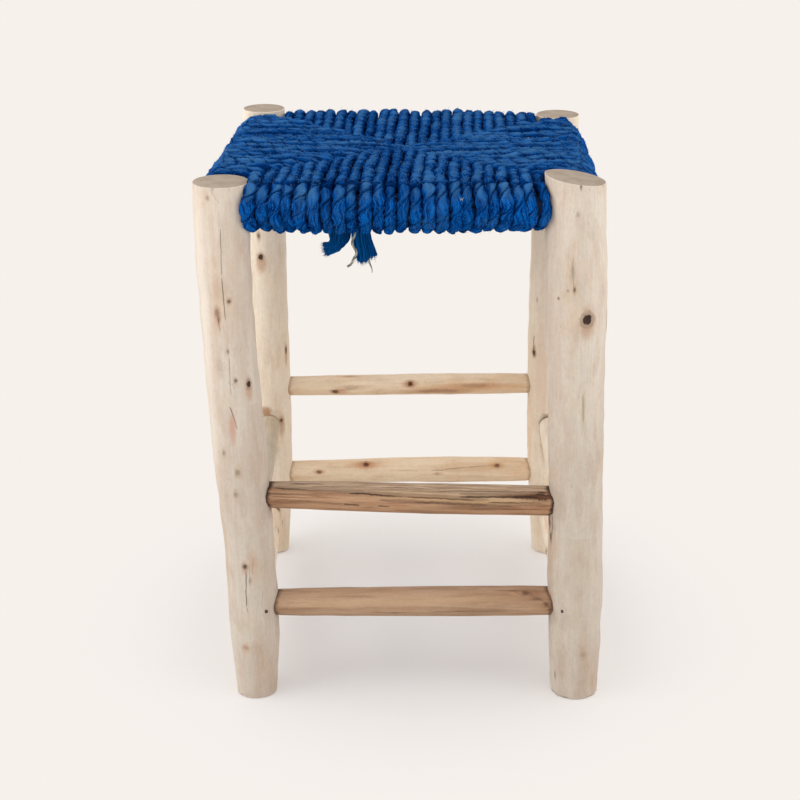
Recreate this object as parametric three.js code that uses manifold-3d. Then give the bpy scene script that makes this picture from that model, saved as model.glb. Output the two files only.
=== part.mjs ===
// Rope-seated pole stool: four debarked legs, a hidden seat frame of four rails, eight stretchers,
// nails through the lowest ring, and one long cord wound over the seat frame in four triangles.
// Millimetres, +Z up, the front towards -Y, origin on the floor in the middle of the footprint.
import * as THREE from "three";
import { mergeVertices } from "three/addons/utils/BufferGeometryUtils.js";
import Module from "manifold-3d";

const wasm = await Module();
wasm.setup();

// Clearances
const fit = 0.3;
const overrun = 6;
const weld = 0.0001;

// Nominal distances between the axes of the legs, and nominal height
const legSpanX = 300;
const legSpanY = 294;
const legHeight = 481;

// Legs: where the axis stands at the foot and at the head, in shares of the spans, how much taller the
// leg is than nominal, how far it sways, how the pole swells
const legs = {
  front_left: {
    footShares: [-0.46, -0.4976],
    headShares: [-0.5133, -0.5003],
    taller: 0,
    diameter: 46,
    sway: 2.4,
    swayWaves: 2,
    topFall: 0,
    girthShares: [
      [0, 0.77], [0.006, 0.8], [0.02, 0.83], [0.06, 0.885], [0.1, 0.97], [0.235, 0.98], [0.32, 0.97],
      [0.42, 0.99], [0.52, 1.025], [0.6, 1], [0.7, 0.985], [0.8, 0.99], [0.9, 1.01], [0.955, 1.01],
      [0.992, 1], [1, 0.96],
    ],
  },
  front_right: {
    footShares: [0.5157, -0.4949],
    headShares: [0.4623, -0.4915],
    taller: 2.5,
    diameter: 49,
    sway: 1.3,
    swayWaves: 1,
    topFall: 7,
    girthShares: [
      [0, 0.83], [0.006, 0.86], [0.02, 0.89], [0.06, 0.925], [0.105, 0.97], [0.235, 1.015], [0.32, 0.985],
      [0.44, 0.975], [0.52, 1], [0.6, 0.995], [0.67, 1.015], [0.72, 1.045], [0.79, 1.07], [0.9, 1.055],
      [0.955, 1.04], [0.992, 1.01], [1, 0.97],
    ],
  },
  back_left: {
    footShares: [-0.4833, 0.5044],
    headShares: [-0.4667, 0.5044],
    taller: -1,
    diameter: 43,
    sway: 1,
    swayWaves: 2,
    topFall: 0,
    girthShares: [
      [0, 0.82], [0.006, 0.86], [0.02, 0.9], [0.06, 0.97], [0.12, 1.02], [0.25, 1.03], [0.4, 1.02],
      [0.55, 1], [0.7, 0.99], [0.8, 0.985], [0.9, 0.97], [0.955, 0.965], [0.992, 0.96], [1, 0.92],
    ],
  },
  back_right: {
    footShares: [0.5167, 0.5044],
    headShares: [0.4967, 0.5044],
    taller: -7,
    diameter: 43,
    sway: -3.4,
    swayWaves: 1,
    topFall: 0,
    girthShares: [
      [0, 0.82], [0.006, 0.86], [0.02, 0.9], [0.06, 0.96], [0.12, 1.01], [0.25, 1.02], [0.4, 1.02],
      [0.55, 1.01], [0.7, 1], [0.8, 0.995], [0.9, 0.99], [0.955, 0.99], [0.992, 0.98], [1, 0.94],
    ],
  },
};
for (const leg of Object.values(legs)) leg.height = legHeight + leg.taller;
const legSides = 20;
const topCutShare = 0.95;

// Tenons: round, whittled on the end of every rail and stretcher
const tenonDiameter = 15;
const tenonWall = 1.3;
const tenonSides = 10;

// Seat rails, all at one height
const railBelowHead = 23;
const railHeight = legHeight - railBelowHead;
const railDiameter = 25;
const railSides = 12;
const railGirthShares = [[0, 1], [1, 1]];

// Stretchers: height of the axis at each end, diameter, and how the pole swells along its length
const poleSides = 12;
const stretchers = {
  front_upper: {
    ends: ["front_left", "front_right"], heights: [198, 190.5], diameter: 28.5, sides: 11,
    girthShares: [[0, 0.8], [0.1, 0.84], [0.3, 0.93], [0.55, 1], [0.8, 0.99], [1, 0.94]],
  },
  front_lower: {
    ends: ["front_left", "front_right"], heights: [90.5, 91.5], diameter: 27.5, sides: poleSides,
    girthShares: [[0, 0.83], [0.12, 0.9], [0.45, 0.98], [0.7, 1], [0.88, 0.98], [1, 0.93]],
  },
  back_upper: {
    ends: ["back_left", "back_right"], heights: [187, 190.5], diameter: 22, sides: poleSides,
    girthShares: [[0, 0.88], [0.2, 0.94], [0.5, 1], [0.8, 0.96], [1, 0.9]],
  },
  back_lower: {
    ends: ["back_left", "back_right"], heights: [89.5, 92.5], diameter: 28, sides: poleSides,
    girthShares: [[0, 0.75], [0.2, 0.84], [0.45, 0.95], [0.65, 1], [0.85, 0.93], [1, 0.82]],
  },
  left_upper: {
    ends: ["front_left", "back_left"], heights: [152, 153.5], diameter: 23.5, sides: poleSides,
    girthShares: [[0, 0.88], [0.25, 0.96], [0.55, 1], [0.8, 0.97], [1, 0.87]],
  },
  left_lower: {
    ends: ["front_left", "back_left"], heights: [50, 48], diameter: 23, sides: poleSides,
    girthShares: [[0, 0.9], [0.3, 1], [0.6, 0.98], [1, 0.86]],
  },
  right_upper: {
    ends: ["front_right", "back_right"], heights: [149, 151], diameter: 24, sides: poleSides,
    girthShares: [[0, 0.86], [0.3, 0.94], [0.6, 1], [0.85, 0.97], [1, 0.9]],
  },
  right_lower: {
    ends: ["front_right", "back_right"], heights: [46, 44.5], diameter: 23, sides: poleSides,
    girthShares: [[0, 0.85], [0.35, 0.97], [0.65, 1], [1, 0.88]],
  },
};
const nailedStretchers = ["front_lower", "back_lower", "left_lower", "right_lower"];
const poleStartShare = 0.5;

// Nails: one through each tenon of the lowest ring
const nailInset = 12.6;
const nailLength = 30;
const nailDiameter = 2;
const nailHeadDiameter = 3.6;
const nailHeadThickness = 0.9;
const nailHeadSink = 0.5;
const nailSides = 6;

// Seat cord: its size, and how it dives between the layers at the diagonals, in shares of its diameter
const cordDiameter = 9.2;
const cordGap = 0.5;
const cordSides = 5;
const wrapSteps = 4;
const seatDip = 4;
const fanOut = 5;
const fanPower = 1.5;
const squeezedShare = 0.35;
const diveDepthShare = 1.03;
const firstDiveShare = 0.52;
const secondDiveShare = 0.34;
const arrivalOffsetShare = 0.29;
const leastGapWanted = 0.4;
const gapSampleStep = 3;
const gapSkip = 26;

// Loose cord ends and the strand of core twine that hang under the front rail, from the rail's middle
const endDiameter = 8.6;
const endSides = 10;
const endSteps = 8;
const looseEnds = {
  left: [[-50, 18, 0], [-50, 18, -4], [-54, 18, -9], [-61, 18, -14], [-69, 18, -17]],
  right: [[-39, 19, 0], [-39, 19, -6], [-37, 19, -13], [-34, 19, -20], [-32, 19, -26]],
};
const twineDiameter = 2.2;
const twineSides = 8;
const twineSteps = 12;
const twineRoute = [
  [-44, 9, 0], [-44.1, 9, -2.4], [-44.6, 8.9, -4.8], [-45.5, 8.8, -7], [-46.2, 8.7, -9.4],
  [-46, 8.7, -11.8], [-44.9, 8.8, -14], [-43.6, 9, -16.2], [-42.8, 9.2, -18.5], [-43.2, 9.2, -21],
  [-44.6, 9.1, -23.2], [-45.6, 9, -25.4], [-46.6, 8.8, -27.7], [-48.4, 8.6, -29.6], [-50.6, 8.4, -31],
];

// Materials
const paleWood = new THREE.MeshStandardMaterial({ color: 0xdcc8ad, roughness: 0.78, metalness: 0 });
const tanWood = new THREE.MeshStandardMaterial({ color: 0xb58d6b, roughness: 0.75, metalness: 0 });
const darkWood = new THREE.MeshStandardMaterial({ color: 0x93694c, roughness: 0.8, metalness: 0 });
const steel = new THREE.MeshStandardMaterial({ color: 0x4d5560, roughness: 0.5, metalness: 0.9 });
const blueCord = new THREE.MeshStandardMaterial({ color: 0x0d4a9c, roughness: 0.95, metalness: 0 });
const greyTwine = new THREE.MeshStandardMaterial({ color: 0x8f8b7d, roughness: 0.95, metalness: 0 });

// Solids from geometry, and geometry from solids
function solidOf(geometry) {
  const bare = geometry.clone();
  bare.deleteAttribute("normal");
  bare.deleteAttribute("uv");
  const merged = mergeVertices(bare, weld);
  const index = merged.index.array;
  const kept = [];
  for (let i = 0; i < index.length; i += 3) {
    const [a, b, c] = [index[i], index[i + 1], index[i + 2]];
    if (a !== b && b !== c && c !== a) kept.push(a, b, c);
  }
  return new wasm.Manifold(
    new wasm.Mesh({
      numProp: 3,
      vertProperties: new Float32Array(merged.attributes.position.array),
      triVerts: new Uint32Array(kept),
    }),
  );
}

function geometryOf(solid) {
  const mesh = solid.getMesh();
  const geometry = new THREE.BufferGeometry();
  geometry.setAttribute("position", new THREE.BufferAttribute(new Float32Array(mesh.vertProperties), 3));
  geometry.setIndex(new THREE.BufferAttribute(new Uint32Array(mesh.triVerts), 1));
  geometry.computeVertexNormals();
  return geometry;
}

// A named mesh whose geometry is kept in the frame of its own placement
function pieceOf(name, material, placement, worldSolid) {
  const geometry = geometryOf(worldSolid).applyMatrix4(placement.clone().invert());
  const mesh = new THREE.Mesh(geometry, material);
  mesh.name = name;
  mesh.applyMatrix4(placement);
  return mesh;
}

// Value of a table of [place share, value share] pairs at one place
function shareAt(shares, place) {
  const next = shares.findIndex(([at]) => at >= place);
  if (next <= 0) return shares[next === 0 ? 0 : shares.length - 1][1];
  const [fromAt, fromValue] = shares[next - 1];
  const [toAt, toValue] = shares[next];
  return THREE.MathUtils.mapLinear(place, fromAt, toAt, fromValue, toValue);
}

// Legs
function legCentre(leg, height) {
  const share = height / leg.height;
  const sway = leg.sway * Math.sin(Math.PI * leg.swayWaves * share);
  return new THREE.Vector3(
    legSpanX * THREE.MathUtils.lerp(leg.footShares[0], leg.headShares[0], share) + sway,
    legSpanY * THREE.MathUtils.lerp(leg.footShares[1], leg.headShares[1], share),
    height,
  );
}

function legRadius(leg, height) {
  return (leg.diameter / 2) * shareAt(leg.girthShares, height / leg.height);
}

function legSolid(leg, growth) {
  const profile = [new THREE.Vector2(0, 0)];
  for (const [place, girth] of leg.girthShares)
    profile.push(new THREE.Vector2((leg.diameter / 2) * girth + growth, leg.height * place));
  profile.push(new THREE.Vector2(0, leg.height));
  const geometry = new THREE.LatheGeometry(profile, legSides);
  geometry.rotateX(Math.PI / 2);
  const position = geometry.attributes.position;
  for (let i = 0; i < position.count; i++) {
    const height = position.getZ(i);
    const centre = legCentre(leg, height);
    const cut = Math.max(0, (height / leg.height - topCutShare) / (1 - topCutShare));
    const tilt = (-cut * leg.topFall * position.getX(i)) / leg.diameter;
    position.setXYZ(i, position.getX(i) + centre.x, position.getY(i) + centre.y, height + tilt);
  }
  return solidOf(geometry);
}

// A round bar from one point to another
function barSolid(from, to, radius, sides) {
  const length = from.distanceTo(to);
  const geometry = new THREE.CylinderGeometry(radius, radius, length, sides);
  geometry.translate(0, length / 2, 0);
  const turn = new THREE.Quaternion().setFromUnitVectors(
    new THREE.Vector3(0, 1, 0),
    to.clone().sub(from).normalize(),
  );
  geometry.applyQuaternion(turn).translate(from.x, from.y, from.z);
  return solidOf(geometry);
}

// A rail or stretcher between two legs: its axis, and how far each leg's wall is from the leg's axis
function poleBetween(ends, heights) {
  const [first, second] = ends.map((end) => legs[end]);
  const from = legCentre(first, heights[0]);
  const to = legCentre(second, heights[1]);
  const along = to.clone().sub(from).normalize();
  return {
    ends,
    from,
    to,
    along,
    walls: [legRadius(first, heights[0]), legRadius(second, heights[1])],
    length: from.distanceTo(to),
  };
}

function pointAlong(pole, distance) {
  return pole.from.clone().addScaledVector(pole.along, distance);
}

const tenonRadius = tenonDiameter / 2;
const tenonReach = tenonRadius + tenonWall;

function poleSolid(pole, diameter, girthShares, sides, grownLegs) {
  const start = pole.walls[0] * poleStartShare;
  const end = pole.length - pole.walls[1] * poleStartShare;
  const profile = [new THREE.Vector2(0, start)];
  for (const [place, girth] of girthShares)
    profile.push(new THREE.Vector2((diameter / 2) * girth, THREE.MathUtils.lerp(start, end, place)));
  profile.push(new THREE.Vector2(0, end));
  const geometry = new THREE.LatheGeometry(profile, sides);
  const turn = new THREE.Quaternion().setFromUnitVectors(new THREE.Vector3(0, 1, 0), pole.along);
  geometry.applyQuaternion(turn).translate(pole.from.x, pole.from.y, pole.from.z);
  let body = solidOf(geometry);
  for (const end of pole.ends) body = body.subtract(grownLegs[end]);
  const core = barSolid(
    pointAlong(pole, tenonReach),
    pointAlong(pole, pole.length - tenonReach),
    tenonRadius,
    tenonSides,
  );
  return body.add(core);
}

// The two blind holes that a pole's tenons sit in
function mortises(pole) {
  const inner = tenonReach - fit;
  const [nearWall, farWall] = pole.walls;
  return [
    [pole.ends[0], inner, nearWall + overrun],
    [pole.ends[1], pole.length - farWall - overrun, pole.length - inner],
  ].map(([end, start, stop]) => ({
    end,
    cutter: barSolid(pointAlong(pole, start), pointAlong(pole, stop), tenonRadius + fit, tenonSides),
  }));
}

// Nails: driven level and square to the pole, from outside the stool
function nailPlaces(pole) {
  const across = new THREE.Vector3(pole.along.y, -pole.along.x, 0).normalize();
  const middle = pointAlong(pole, pole.length / 2);
  if (across.dot(middle) < 0) across.negate();
  return [
    [0, nailInset],
    [1, pole.length - nailInset],
  ].map(([which, distance]) => {
    const wall = pole.walls[which];
    const depth = Math.sqrt(Math.max(0, wall * wall - nailInset * nailInset));
    const head = pointAlong(pole, distance).addScaledVector(across, depth - nailHeadSink);
    return { leg: pole.ends[which], head, inward: across.clone().negate(), depth };
  });
}

// The hole drilled right through a tenon for its nail
function tenonHole({ head, inward, depth }) {
  const start = head.clone().addScaledVector(inward, -nailHeadThickness / 2);
  const end = head.clone().addScaledVector(inward, depth + tenonRadius + overrun);
  return barSolid(start, end, nailDiameter / 2 + fit, nailSides);
}

function nailSolid({ head, inward }, growth, headRun) {
  const point = head.clone().addScaledVector(inward, nailLength + growth);
  const shankTop = head.clone().addScaledVector(inward, -nailHeadThickness / 2);
  const headFoot = head.clone().addScaledVector(inward, growth);
  const headTop = head.clone().addScaledVector(inward, -headRun);
  const shank = barSolid(shankTop, point, nailDiameter / 2 + growth, nailSides);
  return shank.add(barSolid(headFoot, headTop, nailHeadDiameter / 2 + growth, nailSides));
}

// Seat frame as the cord meets it
const rails = {
  front: poleBetween(["front_left", "front_right"], [railHeight, railHeight]),
  back: poleBetween(["back_left", "back_right"], [railHeight, railHeight]),
  left: poleBetween(["front_left", "back_left"], [railHeight, railHeight]),
  right: poleBetween(["front_right", "back_right"], [railHeight, railHeight]),
};
const cordRadius = cordDiameter / 2;
const squeezedRadius = cordRadius * squeezedShare;
const diveDepth = cordDiameter * diveDepthShare;
const halfStep = Math.PI / wrapSteps / 2;
const flatShare = Math.cos(Math.PI / cordSides);
const wrapRadius = (railDiameter / 2 + fit + cordRadius * flatShare) / Math.cos(halfStep);

// Free stretch of each rail between its two legs, and the pitch of the strands on it
const strandCounts = Object.values(rails).map(
  (rail) => (rail.length - rail.walls[0] - rail.walls[1]) / (2 * (cordDiameter + cordGap)),
);
const rounds = Math.floor(Math.min(...strandCounts));
for (const rail of Object.values(rails))
  rail.pitch = (rail.length - rail.walls[0] - rail.walls[1]) / (2 * rounds);

const leastPitch = Math.min(...Object.values(rails).map((rail) => rail.pitch));
const railMiddle = (rail) => rail.walls[0] + rounds * rail.pitch;

// Distance along a rail, from its first leg's axis, of the strand of one round beside one leg
function strandPlace(rail, leg, round) {
  const fromWall = (round + 1 / 2) * rail.pitch;
  return rail.ends[0] === leg ? rail.walls[0] + fromWall : rail.length - rail.walls[1] - fromWall;
}

// One corner of the winding: the rail passed first, then the rail whose strand lies over it
const corners = [
  { leg: "front_left", first: "left", second: "front" },
  { leg: "back_left", first: "back", second: "left" },
  { leg: "back_right", first: "right", second: "back" },
  { leg: "front_right", first: "front", second: "right" },
];
const outwards = {
  front: new THREE.Vector3(0, -1, 0),
  back: new THREE.Vector3(0, 1, 0),
  left: new THREE.Vector3(-1, 0, 0),
  right: new THREE.Vector3(1, 0, 0),
};
const up = new THREE.Vector3(0, 0, 1);

// Where the first and second strand of one round cross: on the line from the corner to the middle
function crossing({ leg, first, second }, round) {
  const onRail = (name, which) => pointAlong(rails[name], strandPlace(rails[name], leg, which));
  const [across, along] = ["left", "right"].includes(first) ? [second, first] : [first, second];
  const outer = new THREE.Vector3(onRail(across, 0).x, onRail(along, 0).y, railHeight);
  const innermost = outwards[first].clone().add(outwards[second]);
  const middle = new THREE.Vector3();
  for (const rail of Object.values(rails)) middle.addScaledVector(pointAlong(rail, railMiddle(rail)), 1 / 4);
  const inner = middle.addScaledVector(innermost, leastPitch / 2);
  return outer.lerp(inner, round / (rounds - 1));
}

// The rings of one pass over a rail: in from the seat's diagonal, round the rail, and back below it
function railPass(name, leg, round, start, dive, diveSide) {
  const rail = rails[name];
  const outward = outwards[name];
  const place = strandPlace(rail, leg, round);
  const axis = pointAlong(rail, place);
  const fanSide = (place - railMiddle(rail)) / (rounds * rail.pitch);
  const halfSpan = rails[name === "front" || name === "back" ? "left" : "front"].length / 2;
  const dip = (seatDip * axis.distanceTo(start)) / halfSpan;
  const top = wrapRadius - dip;
  const slope = axis.clone().sub(start).addScaledVector(up, dip).normalize();
  const rings = [];
  const ring = (centre, tangent, normal, radius) => rings.push({ centre, tangent, normal, radius });

  const diveIn = start.clone().add(diveSide).addScaledVector(outward, -dive);
  ring(diveIn.clone().addScaledVector(up, top - diveDepth), up.clone(), outward.clone().negate(), squeezedRadius);
  ring(start.clone().addScaledVector(up, top), slope, up.clone(), cordRadius);
  for (let step = 0; step <= wrapSteps; step++) {
    const angle = Math.PI / 2 - (step * Math.PI) / wrapSteps;
    const normal = outward.clone().multiplyScalar(Math.cos(angle)).addScaledVector(up, Math.sin(angle));
    const tangent = outward.clone().multiplyScalar(Math.sin(angle)).addScaledVector(up, -Math.cos(angle));
    const fan = fanOut * fanSide * Math.cos(angle) ** fanPower;
    const centre = axis.clone().addScaledVector(normal, wrapRadius).addScaledVector(rail.along, fan);
    ring(centre, tangent, normal, cordRadius);
  }
  const down = up.clone().negate();
  ring(start.clone().addScaledVector(down, wrapRadius), outward.clone().negate(), down, cordRadius);
  ring(
    start.clone().addScaledVector(outward, -dive).addScaledVector(up, diveDepth - wrapRadius),
    up.clone(),
    outward.clone().negate(),
    squeezedRadius,
  );
  return rings;
}

// The whole winding, from the corner at the front left inwards
function cordRings() {
  const rings = [];
  for (let round = 0; round < rounds; round++)
    for (const corner of corners) {
      const { leg, first, second } = corner;
      const meeting = crossing(corner, round);
      const step = crossing(corner, round - 1).sub(meeting).dot(outwards[first]);
      const shortBy = meeting.clone().addScaledVector(outwards[first], step);
      const aside = outwards[second].clone().multiplyScalar(cordDiameter * arrivalOffsetShare);
      const shortDive = step - cordDiameter * firstDiveShare;
      const longDive = cordDiameter * secondDiveShare;
      rings.push(...railPass(first, leg, round, shortBy, shortDive, aside));
      rings.push(...railPass(second, leg, round, meeting, longDive, new THREE.Vector3()));
    }
  return rings;
}

// A closed tube over rings of its own frames
function tubeGeometry(rings, sides) {
  const points = [];
  const index = [];
  for (const { centre, tangent, normal, radius } of rings) {
    const side = tangent.clone().cross(normal).normalize();
    const out = side.clone().cross(tangent).normalize();
    for (let i = 0; i < sides; i++) {
      const angle = (2 * Math.PI * i) / sides;
      const point = centre
        .clone()
        .addScaledVector(out, radius * Math.cos(angle))
        .addScaledVector(side, radius * Math.sin(angle));
      points.push(point.x, point.y, point.z);
    }
  }
  const last = (rings.length - 1) * sides;
  for (let row = 0; row < last; row += sides)
    for (let i = 0; i < sides; i++) {
      const j = (i + 1) % sides;
      index.push(row + i, row + sides + j, row + j, row + i, row + sides + i, row + sides + j);
    }
  for (let i = 1; i < sides - 1; i++) {
    index.push(0, i, i + 1);
    index.push(last, last + i + 1, last + i);
  }
  const geometry = new THREE.BufferGeometry();
  geometry.setAttribute("position", new THREE.BufferAttribute(new Float32Array(points), 3));
  geometry.setIndex(index.map((corner, i) => index[i - (i % 3) + ((3 - (i % 3)) % 3)]));
  return geometry;
}

// Least gap of the winding to itself, from points a short step apart on its centre line
function leastGap(rings) {
  const samples = [];
  let travelled = 0;
  for (let i = 1; i < rings.length; i++) {
    const [from, to] = [rings[i - 1], rings[i]];
    const length = from.centre.distanceTo(to.centre);
    const steps = Math.max(1, Math.ceil(length / gapSampleStep));
    for (let step = 0; step < steps; step++) {
      const share = step / steps;
      samples.push({
        centre: from.centre.clone().lerp(to.centre, share),
        radius: THREE.MathUtils.lerp(from.radius, to.radius, share),
        at: travelled + length * share,
      });
    }
    travelled += length;
  }
  let least = { gap: Infinity };
  for (let i = 0; i < samples.length; i++)
    for (let j = i + 1; j < samples.length; j++) {
      const [a, b] = [samples[i], samples[j]];
      if (b.at - a.at < gapSkip) continue;
      const gap = a.centre.distanceTo(b.centre) - a.radius - b.radius;
      if (gap < least.gap) least = { gap, from: a.centre, to: b.centre };
    }
  return { ...least, length: travelled };
}

// A round bar bent along points
function bentBar(points, diameter, sides, steps) {
  const section = new THREE.Shape();
  for (let i = 0; i <= sides; i++) {
    const angle = (2 * Math.PI * i) / sides;
    const place = [(diameter / 2) * Math.cos(angle), (diameter / 2) * Math.sin(angle)];
    if (i === 0) section.moveTo(...place);
    else section.lineTo(...place);
  }
  const path = new THREE.CatmullRomCurve3(points.map((point) => new THREE.Vector3(...point)));
  return solidOf(new THREE.ExtrudeGeometry(section, { extrudePath: path, steps, bevelEnabled: false }));
}

// Build: legs with their holes, then poles, nails and the cord
const stool = new THREE.Group();
stool.name = "kursi_stool";
const legGroup = new THREE.Group();
const frameGroup = new THREE.Group();
const seatGroup = new THREE.Group();
stool.add(legGroup, frameGroup, seatGroup);

const grownLegs = {};
const legSolids = {};
for (const [name, leg] of Object.entries(legs)) {
  grownLegs[name] = legSolid(leg, fit);
  legSolids[name] = legSolid(leg, 0);
}

const poles = [];
for (const [name, rail] of Object.entries(rails))
  poles.push({
    name: "rail_" + name, pole: rail, material: paleWood, nails: [],
    solid: poleSolid(rail, railDiameter, railGirthShares, railSides, grownLegs),
  });
const stretcherWood = { front_upper: darkWood, front_lower: tanWood };
for (const [name, { ends, heights, diameter, sides, girthShares }] of Object.entries(stretchers)) {
  const pole = poleBetween(ends, heights);
  poles.push({
    name: "stretcher_" + name, pole, material: stretcherWood[name] ?? paleWood,
    nails: nailedStretchers.includes(name) ? nailPlaces(pole) : [],
    solid: poleSolid(pole, diameter, girthShares, sides, grownLegs),
  });
}

for (const entry of poles) {
  for (const { end, cutter } of mortises(entry.pole)) legSolids[end] = legSolids[end].subtract(cutter);
  for (const nail of entry.nails) {
    legSolids[nail.leg] = legSolids[nail.leg].subtract(nailSolid(nail, fit, overrun));
    entry.solid = entry.solid.subtract(tenonHole(nail));
    const name = "nail_" + entry.name.replace("stretcher_", "") + "_at_" + nail.leg;
    const placement = new THREE.Matrix4().makeTranslation(nail.head);
    frameGroup.add(pieceOf(name, steel, placement, nailSolid(nail, 0, nailHeadThickness)));
  }
}
for (const { name, pole, material, solid } of poles) {
  const turn = new THREE.Quaternion().setFromUnitVectors(new THREE.Vector3(1, 0, 0), pole.along);
  const placement = new THREE.Matrix4().compose(pole.from, turn, new THREE.Vector3(1, 1, 1));
  frameGroup.add(pieceOf(name, material, placement, solid));
}
for (const [name, leg] of Object.entries(legs)) {
  const placement = new THREE.Matrix4().makeTranslation(legCentre(leg, 0));
  legGroup.add(pieceOf("leg_" + name, paleWood, placement, legSolids[name]));
}

const winding = cordRings();
const { gap, length, from, to } = leastGap(winding);
console.log("seat cord: " + rounds + " rounds, " + winding.length + " rings, " + (length / 1000).toFixed(1) + " m");
console.log("least gap of the cord to itself: " + gap.toFixed(2) + " mm, wanted over " + leastGapWanted);
if (gap < leastGapWanted) console.log("it is at", from, to);
const seatCord = new THREE.Mesh(tubeGeometry(winding, cordSides), blueCord);
seatCord.geometry.computeVertexNormals();
seatCord.name = "seat_cord";
seatGroup.add(seatCord);

// Hanging pieces start just under the lowest strands
const hangGroup = new THREE.Group();
hangGroup.position.copy(pointAlong(rails.front, rails.front.length / 2)).setX(0);
hangGroup.position.z -= wrapRadius + cordRadius + fit;
seatGroup.add(hangGroup);
for (const [side, points] of Object.entries(looseEnds)) {
  const end = bentBar(points, endDiameter, endSides, endSteps);
  hangGroup.add(pieceOf("cord_end_" + side, blueCord, new THREE.Matrix4(), end));
}
const twine = bentBar(twineRoute, twineDiameter, twineSides, twineSteps);
hangGroup.add(pieceOf("core_twine", greyTwine, new THREE.Matrix4(), twine));

export default stool;
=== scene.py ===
"""Rope-seated pole stool: four debarked legs, eight stretchers, and a seat wound from one two-ply cord.

Metres, +Z up, the front towards -Y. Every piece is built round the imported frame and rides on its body.
"""

import math
from functools import partial

import bpy
import numpy as np
from mathutils import Matrix, Vector


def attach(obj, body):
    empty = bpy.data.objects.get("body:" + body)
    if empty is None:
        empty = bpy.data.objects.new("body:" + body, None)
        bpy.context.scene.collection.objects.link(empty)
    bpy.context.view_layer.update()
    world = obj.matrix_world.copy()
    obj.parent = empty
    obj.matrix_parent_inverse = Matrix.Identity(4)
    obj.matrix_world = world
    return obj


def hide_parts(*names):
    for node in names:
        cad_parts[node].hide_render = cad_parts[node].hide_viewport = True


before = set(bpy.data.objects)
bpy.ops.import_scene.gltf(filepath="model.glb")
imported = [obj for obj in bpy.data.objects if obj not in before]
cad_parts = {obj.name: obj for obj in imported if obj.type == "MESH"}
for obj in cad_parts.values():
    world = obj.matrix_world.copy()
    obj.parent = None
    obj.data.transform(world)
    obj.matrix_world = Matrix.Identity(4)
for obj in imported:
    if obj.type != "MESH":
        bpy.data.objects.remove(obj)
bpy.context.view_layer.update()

BODY = "root"
MM = 0.001
UP = Vector((0, 0, 1))
dice = np.random.default_rng(20)

# Camera, as the photograph was taken
CAMERA_PLACE = (-0.006, -1.526, 0.8295)
CAMERA_DOWN = math.radians(21.46)
CAMERA_LENS = 77.1

# Nominal distances between the axes of the legs, and nominal height
LEG_SPAN_X = 300 * MM
LEG_SPAN_Y = 294 * MM
LEG_HEIGHT = 481 * MM

# Legs: foot and head in shares of the spans, girth along the height in shares of the diameter
LEGS = {
    "front_left": {
        "foot": (-0.46, -0.4976), "head": (-0.5133, -0.5003), "taller": 0,
        "diameter": 46 * MM, "sway": 2.4 * MM, "waves": 2, "fall": 0,
        "girth": [
            (0, 0.8), (0.02, 0.83), (0.06, 0.885), (0.1, 0.97), (0.235, 0.98), (0.32, 0.97), (0.42, 0.99),
            (0.52, 1.025), (0.6, 1), (0.7, 0.985), (0.8, 0.99), (0.9, 1.01), (0.955, 1.01), (1.1, 1.02),
        ],
    },
    "front_right": {
        "foot": (0.5157, -0.4949), "head": (0.4623, -0.4915), "taller": 2.5 * MM,
        "diameter": 49 * MM, "sway": 1.3 * MM, "waves": 1, "fall": 7 * MM,
        "girth": [
            (0, 0.86), (0.02, 0.89), (0.06, 0.925), (0.105, 0.97), (0.235, 1.015), (0.32, 0.985),
            (0.44, 0.975), (0.52, 1), (0.6, 0.995), (0.67, 1.015), (0.72, 1.045), (0.79, 1.07),
            (0.9, 1.055), (0.955, 1.04), (1.1, 1.03),
        ],
    },
    "back_left": {
        "foot": (-0.4833, 0.5044), "head": (-0.4667, 0.5044), "taller": -1 * MM,
        "diameter": 43 * MM, "sway": 1 * MM, "waves": 2, "fall": 0,
        "girth": [
            (0, 0.86), (0.02, 0.9), (0.06, 0.97), (0.12, 1.02), (0.25, 1.03), (0.4, 1.02), (0.55, 1),
            (0.7, 0.99), (0.8, 0.985), (0.9, 0.97), (0.955, 0.965), (1.1, 0.97),
        ],
    },
    "back_right": {
        "foot": (0.5167, 0.5044), "head": (0.4967, 0.5044), "taller": -7 * MM,
        "diameter": 43 * MM, "sway": -3.4 * MM, "waves": 1, "fall": 0,
        "girth": [
            (0, 0.86), (0.02, 0.9), (0.06, 0.96), (0.12, 1.01), (0.25, 1.02), (0.4, 1.02), (0.55, 1.01),
            (0.7, 1), (0.8, 0.995), (0.9, 0.99), (0.955, 0.99), (1.1, 0.98),
        ],
    },
}

# Rails and tenons
RAIL_HEIGHT = LEG_HEIGHT - 23 * MM
TENON_RADIUS = 7.3 * MM
TENON_REACH = 8.8 * MM
SHOULDER_DEPTH = 5.5 * MM
# A tenon's tip is drawn in over its last stretch, and its shoulder is this steep
TENON_TIP = 0.6 * MM
TENON_TAPER = 0.9
SHOULDER_SLOPE = 1 * MM

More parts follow.
